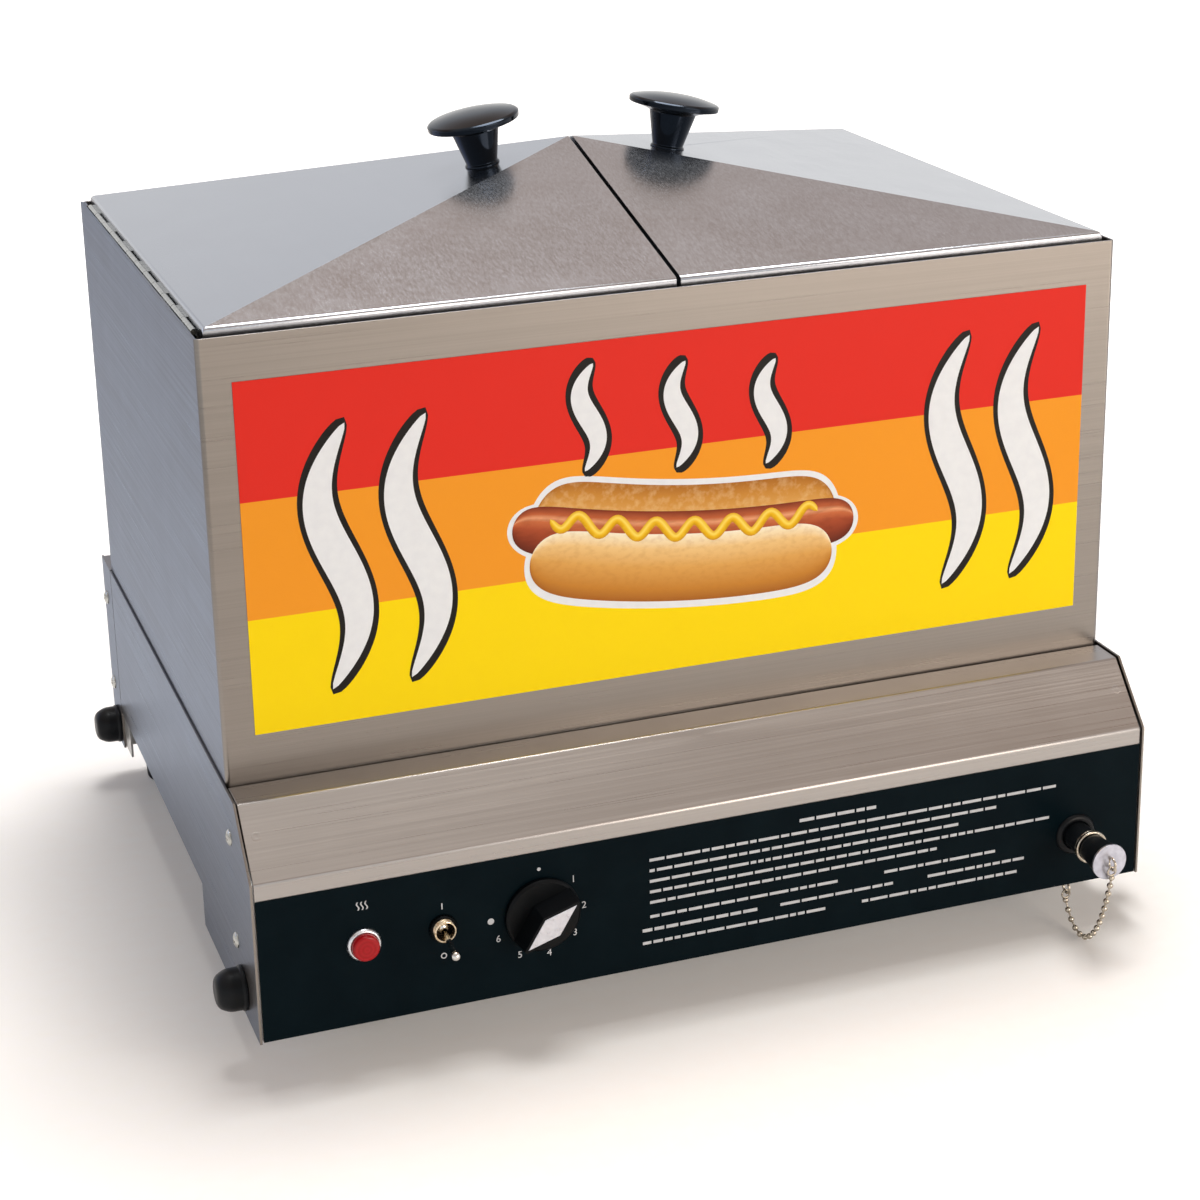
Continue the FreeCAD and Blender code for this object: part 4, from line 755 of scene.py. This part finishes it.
switch_x, switch_z = -141.1 * MM, 68.5 * MM
switch_base = (switch_x, face_y, switch_z)
sleeve = [threaded_sleeve(switch_base)]
grid_piece("switch_bushing_thread", sleeve, brass_thread, node="toggle_bushing", sharp=25)
grid_piece("switch_ring_nut", [knurled_nut(switch_base)], black_oxide, node="toggle_nut")

# %% [markdown]
# The lever is a slim neck that swells to a rounded tip, with a ball at its pivot. As a turned profile it
# is one smooth curve: the neck's radius grows along a cosine, and an arc closes each end.

# %% Lever
def arc(radius, centre, start, end):
    """Points (r cos(a), centre + r sin(a)) of a profile, for angles a from start to end."""
    a = np.linspace(start, end, 14)
    return np.stack([radius * np.cos(a), centre + radius * np.sin(a)], axis=1)


tilt = math.radians(12)
lever_axis = (0, -math.cos(tilt), -math.sin(tilt))
pivot = (switch_x, -171.15 * MM, switch_z)
neck_radius, neck_swell, neck_start, neck_length = 1.2, 0.35, 3.6, 16.6
ball, tip = arc(3.4, 0.0, -math.pi / 2, 1.2), arc(2.3, 22.1, -0.8, math.pi / 2)
ball[0, 0] = tip[-1, 0] = 0.0
s = np.linspace(0, 1, 14)
swell = neck_swell * (1 - np.cos(math.pi * s)) / 2
neck = np.stack([neck_radius + swell, neck_start + s * neck_length], axis=1)
lever_profile = np.concatenate([ball, neck, tip]) * MM
grid = turned(lever_profile, pivot, lever_axis, around=40)
grid_piece("switch_bat_lever", [grid], chrome, "toggle", "toggle_lever", sharp=60)

# %% [markdown]
# ## Drain
#
# The pan drains through a rubber hose that comes out of a grommet in the panel. Its mouth has a plated
# collar and a rubber plug, whose metal disc carries a wire eye. A ball chain keeps the plug from
# getting lost. Rubber parts are turned with generous roundings.

# %% Grommet, collar and plug
drain_x, drain_z = 193.0 * MM, 54.6 * MM
drain_base = (drain_x, face_y, drain_z)
mouth_base = (drain_x, face_y - 17.0 * MM, drain_z)
grommet_corners = [
    (7.25, -1.6, 0), (11.0, -1.6, 0), (11.0, 0.6, 0.8), (9.6, 2.0, 0.9), (7.9, 2.0, 0.4),
    (7.25, 1.4, 0.3), (7.25, -1.6, 0),
]
collar_corners = [
    (7.25, 0.0, 0), (8.2, 0.0, 0.25), (8.7, -0.5, 0.35), (8.35, -1.6, 0.3), (8.7, -2.7, 0.35),
    (8.2, -3.2, 0.25), (7.25, -3.2, 0), (7.25, 0.0, 0),
]
plug_corners = [
    (0.0, -10.0, 0), (4.6, -10.0, 0.6), (5.2, -8.6, 0.6), (5.2, 0.3, 0.2), (7.3, 0.3, 0.6),
    (7.35, 4.0, 1.5), (8.7, 13.5, 1.5), (8.8, 15.8, 0.5), (0.0, 15.8, 0),
]
panel_piece("drain_grommet_lip", "drain_grommet", drain_base, grommet_corners, 6, rubber)
panel_piece("drain_collar_ring", "drain_collar", mouth_base, collar_corners, 5, nickel)
panel_piece("drain_stopper", "drain_plug", mouth_base, plug_corners, 6, rubber, "plug")

# %% [markdown]
# ## Ball chain
#
# A chain that hangs between two points takes the curve y = a (cosh(x / a) - 1), the catenary. Its
# stiffness a is found by halving an interval until the curve spans the distance between the ends, and
# beads are then set at an even spacing along its length, where the length from the lowest point is
# a sinh(x / a).
#
# Each bead is its own piece, a turned ball square to the chain's direction, and the thin links between
# the beads are one more piece.

# %% The chain's curve
def hanging_beads(front_end, back_end, low, pitch):
    """Bead centres along a catenary in a plane of constant x, from the plug's end to the hood's end."""
    span = back_end[1] - front_end[1]
    small, large = span * 0.001, span * 10
    for _ in range(80):
        a = (small + large) / 2
        reach = a * sum(math.acosh(1 + (end[2] - low) / a) for end in (front_end, back_end))
        small, large = (a, large) if reach < span else (small, a)
    low_y = front_end[1] + a * math.acosh(1 + (front_end[2] - low) / a)
    start = a * math.sinh((front_end[1] - low_y) / a)
    end = a * math.sinh((back_end[1] - low_y) / a)
    s = np.linspace(start, end, round((end - start) / pitch) + 1)
    return np.stack([0 * s + front_end[0], low_y + a * np.arcsinh(s / a), low + np.hypot(a, s) - a], axis=1)


eye = np.array([drain_x, -209.05 * MM, drain_z])
anchor = np.array([drain_x, -166.15 * MM, 21.4 * MM])
ring_drop, bead_drop = 3.9 * MM, 7.4 * MM
chain_low, bead_pitch = 2.1 * MM, 5.1 * MM
beads = hanging_beads(eye - [0, 0, bead_drop], anchor - [0, 0, bead_drop], chain_low, bead_pitch)
print("chain beads", len(beads), "lowest", round(beads[:, 2].min() / MM, 2), "mm")

# %% [markdown] Beads


def bead_profile(radius=1.6 * MM, dimple=0.93):
    """A half circle (r sin(a), -r cos(a)), with a flat dimple at each end, where the link goes in."""
    a = np.linspace(0, math.pi, 13)
    profile = radius * np.stack([np.sin(a), -np.cos(a)], axis=1)
    profile[0], profile[-1] = (0, -radius * dimple), (0, radius * dimple)
    return profile


ways = np.gradient(beads, axis=0)
shares = 1 - np.linspace(0, 1, len(beads))
for i, (centre, way, share) in enumerate(zip(beads, ways, shares)):
    name = f"chain_bead_{i + 1:02d}"
    grid = turned(bead_profile(), centre, way, around=20)
    bead = grid_piece(name, [grid], nickel, body=None, sharp=60)
    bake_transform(bead)


# %% Links and rings
def bar(start, end, radius=0.55 * MM, around=8):
    """A round bar: circles of the given radius, in five planes square to the line from start to end."""
    line = np.linspace(start, end, 5)
    way = (end - start) / np.linalg.norm(end - start)
    side = np.cross(way, [1.0, 0.0, 0.0])
    side /= np.linalg.norm(side)
    angle = full_turn(around)[:, None]
    return line[:, None] + (side * np.cos(angle) + np.cross(way, side) * np.sin(angle)) * radius


def wire_ring(centre, axis, radius=2.2 * MM, wire=0.5 * MM, around=40):
    """A round ring of wire, a torus: its points lie at radius R + w cos(b) and height w sin(b)."""
    a = np.arange(around + 1)[:, None] * 2 * math.pi / around
    b = full_turn(12)
    return placed(rings(radius + wire * np.cos(b), wire * np.sin(b), a), centre, axis)


links = [bar(*ends) for ends in zip(beads, beads[1:])]
chain = grid_piece("chain_links", links, nickel, None, "drain_chain", sharp=60)
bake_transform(chain)
for name, centre, body in (("plug_end_ring", eye, "plug"), ("hood_end_ring", anchor, "frame")):
    ring = wire_ring(centre - [0, 0, ring_drop], (0, 1, 0))
    grid_piece(name, [ring], nickel, body, sharp=60)

# %% [markdown]
# ## The sign
#
# The sign on the cabinet's front is a screen print. Its motifs are laid down as films of ink, each a
# flat ribbon with a round end: a centreline, and a width that follows a rounded curve. Ribbons lie on
# each other in the order that a printer would put them down, a twentieth of a millimetre apart.

# %% Ribbons of ink
FILM = 0.05 * MM


def ribbon(line, width, layer):
    """A flat film. Point (i, j) is line_i + v_j * width_i * the line's normal, with v from -1 to 1.

    A second set of points behind it, and the rim between them, close it as a thin solid."""
    line = np.asarray(line, float) * MM
    way = np.gradient(line, axis=0)
    way /= np.linalg.norm(way, axis=1)[:, None]
    normal = np.stack([-way[:, 1], way[:, 0]], axis=1)
    v = np.linspace(-1, 1, 9)
    flat = line[:, None] + v[None, :, None] * (width[:, None] * MM * normal)[:, None]
    y = sign_low.y - layer * FILM
    front_side = np.stack([flat[..., 0], 0 * flat[..., 0] + y, flat[..., 1]], axis=-1)
    back_side = front_side[:, ::-1] + [0, FILM * 0.9, 0]
    along, across = np.meshgrid(np.linspace(0, 1, len(line)), (v + 1) / 2, indexing="ij")
    share = np.stack([along, across], axis=-1)
    return np.concatenate([front_side, back_side], axis=1), np.concatenate([share, share[:, ::-1]], axis=1)


def film_piece(name, ribbons, material):
    """Ribbons of one ink as a piece on the cabinet."""
    grids, shares = zip(*ribbons)
    return add_piece(name, surface(name, grids, 20, shares), material, "frame")


def round_end(s, power):
    """The share of its full width that a ribbon has at s: (1 - |s|^p)^(1 / 2), for s from -1 to 1."""
    return np.sqrt(np.clip(1 - np.abs(s) ** power, 0, 1))


# %% [markdown]
# The picture is a bun with a sausage in the middle of the sign, and curls of white steam with a black
# outline. Each part of the bun follows the same gentle smile, z = c x^2 turned by a few degrees, at its
# own height above it.

# %% Bun and sausage
def smile(s, length, lift, centre=(0.0, 222.0), bend=7.0, turn=-6.0):
    """Points along a curved centreline, lift above it, turned about the picture's centre. In millimetres."""
    x, z = s * length / 2, bend * s**2 + lift
    c, d = math.cos(math.radians(turn)), math.sin(math.radians(turn))
    return np.stack([centre[0] + c * x - d * z, centre[1] + d * x + c * z], axis=1)


def bun_part(length, half_width, lift, layer, power=9.0, steps=61):
    """One ribbon of the bun or the sausage. Its points crowd at the ends, as s = sin(t)."""
    s = np.sin(np.linspace(-math.pi / 2, math.pi / 2, steps))
    return ribbon(smile(s, length, lift), half_width * round_end(s, power), layer)


outline = [bun_part(161, 24.5, 9, 1), bun_part(181, 15.5, 5, 1.3), bun_part(161, 21.5, -10, 1.6)]
film_piece("sign_bun_outline", outline, ink_white)
film_piece("sign_bun_back", [bun_part(156, 21.5, 9, 2)], crumb_ink)
film_piece("sign_sausage", [bun_part(176, 12.5, 5, 3, power=14)], sausage_ink)
film_piece("sign_bun_front", [bun_part(156, 17.0, -11, 4)], crust_ink)
s = np.linspace(-1, 1, 161)
mustard_lift, mustard_sway, mustard_bends, mustard_half = 8.5, 4.2, 7, 2.3
zigzag = mustard_lift + mustard_sway * np.sin(s * mustard_bends * math.pi)
mustard = smile(s, 138, 0.0) + np.stack([0 * s, zigzag], axis=1)
film_piece("sign_mustard", [ribbon(mustard, mustard_half * round_end(s, 30), 5)], mustard_ink)


# %% Steam
def curl(x, z, height, lean, sway, half_width, grow, layer, steps=61):
    """A curl of steam: x sways as sin(2 pi s) while z rises, and the width swells in the middle.

    grow widens and lengthens it by that much all round, for the outline under it."""
    s = np.linspace(0, 1, steps)
    line = np.stack([x + lean * s + sway * np.sin(2 * math.pi * s), z + height * s], axis=1)
    line = line.mean(axis=0) + (line - line.mean(axis=0)) * [1, 1 + 2 * grow / height]
    swell = 0.25 + 0.75 * np.sin(math.pi * s)
    return ribbon(line, (half_width * swell + grow) * round_end(2 * s - 1, 12), layer)


large_curls = [(x, z, 128, 12, 11, 8.5) for x, z in ((-176, 176), (-138, 176), (138, 182), (176, 182))]
small_curls = [(x, z, 52, 5, 5.5, 5.2) for x, z in ((-50, 266), (-4, 262), (42, 258))]
curls = large_curls + small_curls
film_piece("sign_steam_outline", [curl(*c, grow=2.6, layer=1) for c in curls], ink_black)
film_piece("sign_steam", [curl(*c, grow=0.0, layer=2) for c in curls], ink_white)

# %% [markdown]
# ## Prints on the control panel
#
# Round the dial stand the numbers 1 to 6. They are printed on the film, and the film was stuck on a
# little off centre, so their ring's middle is 1.6 mm left of the dial's axis. A small and a large dot
# mark the dial's low and high ends, a bar and a ring mark the switch's two sides, and three waves mark
# the lamp. The block on the right is a generic one: rows of short plain bars.

# %% Numbers round the dial
INK_DEPTH = 0.035 * MM
ink_y = face_y - 0.04 * MM
ring_x, ring_z, ring_radius = -94.0 * MM, 66.9 * MM, 22.6 * MM
dial_marks = {"1": 39, "2": -1, "3": -38, "4": -78, "5": -116, "6": -154}


def printed_text(body, size, x, z, half=0.5):
    """A character as a thin solid, its middle at (x, z) on the panel, extruded by half to each side."""
    curve = bpy.data.curves.new("text", "FONT")
    curve.body, curve.size, curve.extrude = body, size, half
    curve.align_x, curve.align_y, curve.resolution_u = "CENTER", "CENTER", 3
    holder = add_object("text", curve)
    mesh = bpy.data.meshes.new_from_object(holder)
    flat = np.zeros(len(mesh.vertices) * 3)
    mesh.vertices.foreach_get("co", flat)
    across, up, out = flat.reshape(-1, 3).T
    points = np.stack([across + x, ink_y + (half - out) * INK_DEPTH, up + z], axis=1)
    faces = [list(p.vertices) for p in mesh.polygons]
    bpy.data.objects.remove(holder)
    bpy.data.curves.remove(curve)
    bpy.data.meshes.remove(mesh)
    return points, faces


def print_piece(name, parts):
    """One piece of grey ink from several (points, faces), with their numbering shifted on."""
    points, faces = [], []
    for part_points, part_faces in parts:
        faces += [[len(points) + v for v in face] for face in part_faces]
        points += part_points.tolist()
    mesh = bpy.data.meshes.new(name)
    mesh.from_pydata(points, [], faces)
    weld(mesh)
    return add_piece(name, mesh, ink_grey, "frame")


characters = []
for digit, degrees in dial_marks.items():
    a = math.radians(degrees)
    x, z = ring_x + ring_radius * math.cos(a), ring_z + ring_radius * math.sin(a)
    characters.append(printed_text(digit, 5.0 * MM, x, z))
print_piece("dial_numbers", characters)


# %% Bars, dots and waves
def bars(x0, x1, z0, z1):
    """Thin boxes from arrays of their edges. Corner k takes x0 or x1, y0 or y1 and z0 or z1 by its bits."""
    x, z = np.stack([x0, x1], axis=1), np.stack([z0, z1], axis=1)
    y = np.array([ink_y, ink_y + INK_DEPTH])
    k = np.arange(8)
    points = np.stack(np.broadcast_arrays(x[:, k & 1], y[(k >> 1) & 1], z[:, k >> 2]), axis=-1)
    box = np.array([(0, 1, 5, 4), (3, 2, 6, 7), (2, 0, 4, 6), (1, 3, 7, 5), (4, 5, 7, 6), (2, 3, 1, 0)])
    faces = (box[None] + 8 * np.arange(len(x))[:, None, None]).reshape(-1, 4)
    return points.reshape(-1, 3), faces.tolist()


def dot(x, z, outer, inner=0.0, around=32):
    """A disc or a ring of ink: two circles in front and two behind."""
    a = full_turn(around)
    front_rings = [(inner, 0.0), (outer, 0.0)]
    back_rings = [(outer, INK_DEPTH), (inner, INK_DEPTH), (inner, 0.0)]
    grid = np.stack([
        np.stack([x + r * np.cos(a), 0 * a + ink_y + y, z + r * np.sin(a)], axis=-1)
        for r, y in front_rings + back_rings
    ])
    return grid.reshape(-1, 3), grid_faces(5, around).tolist()


def wave(x, z, height=4.2 * MM, sway=0.5 * MM, half=0.32 * MM, steps=17):
    """A short upright wave: x = sway sin(2 pi s) at height s, as a strip with a front and a back."""
    s = np.linspace(0, 1, steps)
    middle, up = x + sway * np.sin(2 * math.pi * s), z + height * (s - 0.5)
    sides = ((-half, 0.0), (half, 0.0), (half, INK_DEPTH), (-half, INK_DEPTH))
    grid = np.stack([np.stack([middle + dx, 0 * s + ink_y + dy, up], axis=-1) for dx, dy in sides], axis=1)
    ends = [[0, 1, 2, 3], [4 * (steps - 1) + k for k in (3, 2, 1, 0)]]
    return grid.reshape(-1, 3), grid_faces(steps, 4).tolist() + ends


upright = np.array([[-0.28, 0.28, 9.4, 12.6]]) * MM + [switch_x, switch_x, switch_z, switch_z]
marks = [
    dot(ring_x + 0.6 * MM, ring_z + ring_radius, 0.9 * MM),
    dot(ring_x - ring_radius - 1.1 * MM, ring_z, 1.6 * MM),
    dot(switch_x, switch_z - 14.7 * MM, 1.5 * MM, 1.0 * MM),
    bars(*upright.T),
]
marks += [wave(lamp_x + shift * MM, lamp_z + 19.7 * MM) for shift in (-2.0, 0.0, 2.0)]
print_piece("panel_marks", marks)

# %% [markdown]
# Each row of the block is a run of bars with small gaps, of random lengths from a seeded generator, so
# the same block comes out at every run. All bars of all rows are worked out as arrays.

# %% The block of bars
def bar_rows(rows, shortest=2.5, longest=11.0, gap=1.1, seed=7):
    """Bars for rows of (x start, x end, z, height), as many as end before x end. In millimetres."""
    random = np.random.default_rng(seed)
    found = []
    for x_start, x_end, z, height in rows:
        lengths = random.uniform(shortest, longest, 60)
        ends = x_start + np.cumsum(lengths + gap) - gap
        edges = (ends - lengths, ends, 0 * ends + z - height / 2, 0 * ends + z + height / 2)
        found.append(np.stack(edges, axis=1)[ends < x_end])
    return bars(*(np.concatenate(found) * MM).T)


rows = [(40, 84, 90.0, 1.7)]
rows += [(-38, x_end, 83.5 - 5.6 * i, 1.5) for i, x_end in enumerate((182, 150, 128, 178, 120))]
rows += [(-38, 70, 53.5, 1.5), (86, 150, 53.5, 1.5)]
rows += [(-42, 20, 46.6, 1.7), (30, 98, 46.6, 1.5), (110, 168, 46.6, 1.5)]
rows += [(-42, 60, 39.8, 1.5), (74, 168, 39.8, 1.5)]
print_piece("panel_bars", [bar_rows(rows)])

# %% [markdown]
# ## Small details
#
# Spot welds leave shallow round dimples near both ends of the hood's slope. The cord bushing at the back
# has ribs that grip the panel and the cord.

# %% Spot welds
def dimple(base, axis, radius=2.4, depth=0.05, sunk=0.02):
    """A shallow dished mark in millimetres: a raised rim and a hollow, in h = sin(pi (1.25 r - 0.25))."""
    r = np.linspace(0, 1, 12)
    h = depth * (0.25 + 0.75 * np.sin(math.pi * np.clip(r * 1.25 - 0.25, 0, 1)))
    h[-1] = -sunk
    return turned(np.stack([r * radius, h], axis=1) * MM, base, axis, around=32)


slope_depth, slope_height = 26.0, 29.0
slope_normal = (0, -slope_height, slope_depth)
welds = [dimple((side * 222.5 * MM, -157.15 * MM, 123.24 * MM), slope_normal) for side in (-1, 1)]
grid_piece("hood_spot_welds", welds, steel_front, sharp=60)

# %% Cord bushing
gland_base = (150.0 * MM, 209.75 * MM, 71.0 * MM)
gland_profile = rounded(
    [
        (4.5, -9.2, 0), (7.6, -9.2, 0.5), (7.95, -8.0, 0.4), (7.95, 0.0, 0), (12.0, 0.0, 0.3),
        (12.0, 1.6, 0.8), (10.4, 3.0, 0.8), (7.0, 3.0, 0.4), (6.4, 2.2, 0.4), (5.6, 2.2, 0.3),
        (5.2, 3.0, 0.3), (4.5, 2.6, 0.3), (4.5, -9.2, 0),
    ]
)
grid = turned(gland_profile, gland_base, (0, 1, 0), around=64)
grid_piece("cord_bushing_rubber", [grid], rubber, node="cord_gland")

# %% [markdown]
# ## Stage, light and camera
#
# The photograph is a studio shot on white with soft light from above. Steel shows the room more than
# itself, so the room is drawn with care: the world is white at the horizon, then a cool grey, a warm grey
# where the ceiling was, and bright again overhead. The camera and the reflections see it at full
# strength, and as light it is dimmer.

# %% World
def rays(tree, *kinds):
    """1 for a ray of one of these kinds, which Light Path names, and else 0: the largest of its outputs."""
    path = add_node(tree, "LightPath")
    found = path.outputs[kinds[0]]
    for kind in kinds[1:]:
        found = add_node(tree, "Math", {0: found, 1: path.outputs[kind]}, operation="MAXIMUM")
    return found


world = bpy.data.worlds.new("studio_white")
bpy.context.scene.world = world
world.use_nodes = True
tree = world.node_tree
tree.nodes.clear()
way = add_node(tree, "TexCoord").outputs["Generated"]
height = add_node(tree, "SeparateXYZ", {"Vector": way}).outputs["Z"]
steps = ((0.15, 0.40, "#E0E2E8"), (0.40, 0.70, "#C4A895"), (0.72, 0.84, "#F4EEE8"))
seen = rays(tree, "Is Camera Ray", "Is Glossy Ray", "Is Transmission Ray")
strength = add_node(tree, "MapRange", {"Value": seen, "To Min": 0.42, "To Max": 1.0})
room = layered(tree, "#FFFFFF", *stepped(tree, height, steps))
sky = add_node(tree, "Background", {"Color": room, "Strength": strength})
add_node(tree, "OutputWorld", {"Surface": sky})
print("world", world.name, "nodes", len(tree.nodes))

# %% [markdown]
# The floor is pale and matt. It would render a touch grey, so for the camera it also glows, more with
# the distance, just enough to meet the white around it while the object's shadow stays. Reflections see
# another glow, which stands for the rest of the studio: it grows with the distance and towards the
# right, where the studio was brighter, and close by on the left it is a white card.

# %% Floor
def paper_floor():
    """Matt white paper with a glow for the camera and one for reflections.

    Each line below adds a product: 1 for its kind of ray, times ramps of the distance or of x. A ramp
    is (measure, from, to, value there, value there)."""
    material, tree, place = new_material("white_paper_sweep")
    fibres = mottle(tree, place, 11.11)
    tone = layered(tree, "#F3EFEA", (fibres, "#F5F1ED"))
    reach = add_node(tree, "VectorMath", {0: place}, operation="LENGTH").outputs["Value"]
    across = add_node(tree, "SeparateXYZ", {"Vector": place}).outputs["X"]
    direct, glossy = rays(tree, "Is Camera Ray", "Is Transmission Ray"), rays(tree, "Is Glossy Ray")
    glow = 0.0
    for ray, ramps in (
        (direct, [(reach, 0.3, 1.3, 0.12, 0.78)]),
        (glossy, [(reach, 0.3, 3.0, 0.12, 0.69), (across, 0.0, 0.5, 0.2, 1.0)]),
        (glossy, [(across, -0.22, -0.32, 0.0, 0.26), (reach, 0.3, 0.9, 1.0, 0.25)]),
    ):
        for ramp in ramps:
            inputs = dict(zip(("Value", "From Min", "From Max", "To Min", "To Max"), ramp))
            factor = add_node(tree, "MapRange", inputs)
            ray = add_node(tree, "Math", {0: ray, 1: factor}, operation="MULTIPLY")
        glow = add_node(tree, "Math", {0: glow, 1: ray}, operation="ADD")
    matt = add_node(tree, "BsdfDiffuse", {"Color": tone})
    light = add_node(tree, "Emission", {"Color": linear("#FFFFFF"), "Strength": glow})
    both = add_node(tree, "AddShader", {0: matt, 1: light})
    add_node(tree, "OutputMaterial", {"Surface": both})
    return material


radii = np.array([[0.0], [1.0], [3.0], [8.0], [16.0]])
floor_mesh = surface("floor", [rings(radii, 0.0, full_turn(64))])
floor_mesh.materials.append(paper_floor())
add_object("floor", floor_mesh)

# %% [markdown]
# Three square soft boxes give the light its direction: a key from above, a warm fill from the front
# right, and a weak cool fill from behind on the left.

# %% Lamps
def area_lamp(name, place, target, size, power, colour="#FFFFFF"):
    """A square soft box that faces the target. The camera doesn't see it."""
    light = bpy.data.lights.new(name, "AREA")
    light.shape, light.size, light.energy = "SQUARE", size, power
    light.color = linear(colour)[:3]
    lamp = add_object(name, light)
    lamp.location = place
    lamp.rotation_euler = (Vector(target) - Vector(place)).to_track_quat("-Z", "Y").to_euler()
    lamp.visible_camera = False
    print("lamp", name, power, "W")


area_lamp("key_above", (0.28, 0.36, 2.6), (0.0, 0.0, 0.1), 1.2, 60.0)
area_lamp("fill_front", (1.3, -2.4, 0.75), (0.1, 0.0, 0.2), 1.6, 37.0, "#FFF0E0")
area_lamp("fill_left", (-1.9, 1.6, 1.1), (-0.6, 0.7, 0.0), 1.4, 5.0, "#9FBCFF")

# %% [markdown]
# The camera's angles, distance and lens were fitted to the corners of the object in the photograph. The
# fit gives the lens as a focal length in pixels, which becomes millimetres on a 36 mm wide sensor.

# %% Camera
azimuth, elevation, roll, distance = -0.34059, 0.32234, -0.02019, 1.38431
target = np.array([0.01214, 0.02835, 0.206])
focal_pixels, photo_pixels = 2579.12, 1200
level = math.cos(elevation)
back = np.array([math.sin(azimuth) * level, -math.cos(azimuth) * level, math.sin(elevation)])
right = np.cross([0, 0, 1], back)
right /= np.linalg.norm(right)
up = np.cross(back, right)
right, up = math.cos(roll) * right + math.sin(roll) * up, math.cos(roll) * up - math.sin(roll) * right
lens = bpy.data.cameras.new("camera")
lens.sensor_width = 36.0
lens.lens = focal_pixels / photo_pixels * lens.sensor_width
lens.shift_y = -0.10
camera = add_object("camera", lens)
pose = np.eye(4)
pose[:3] = np.stack([right, up, back, target + back * distance], axis=1)
camera.matrix_world = Matrix(pose.tolist())
bpy.context.scene.camera = camera
bpy.context.scene.view_settings.view_transform = "Standard"
print("camera lens", round(lens.lens, 1), "mm")
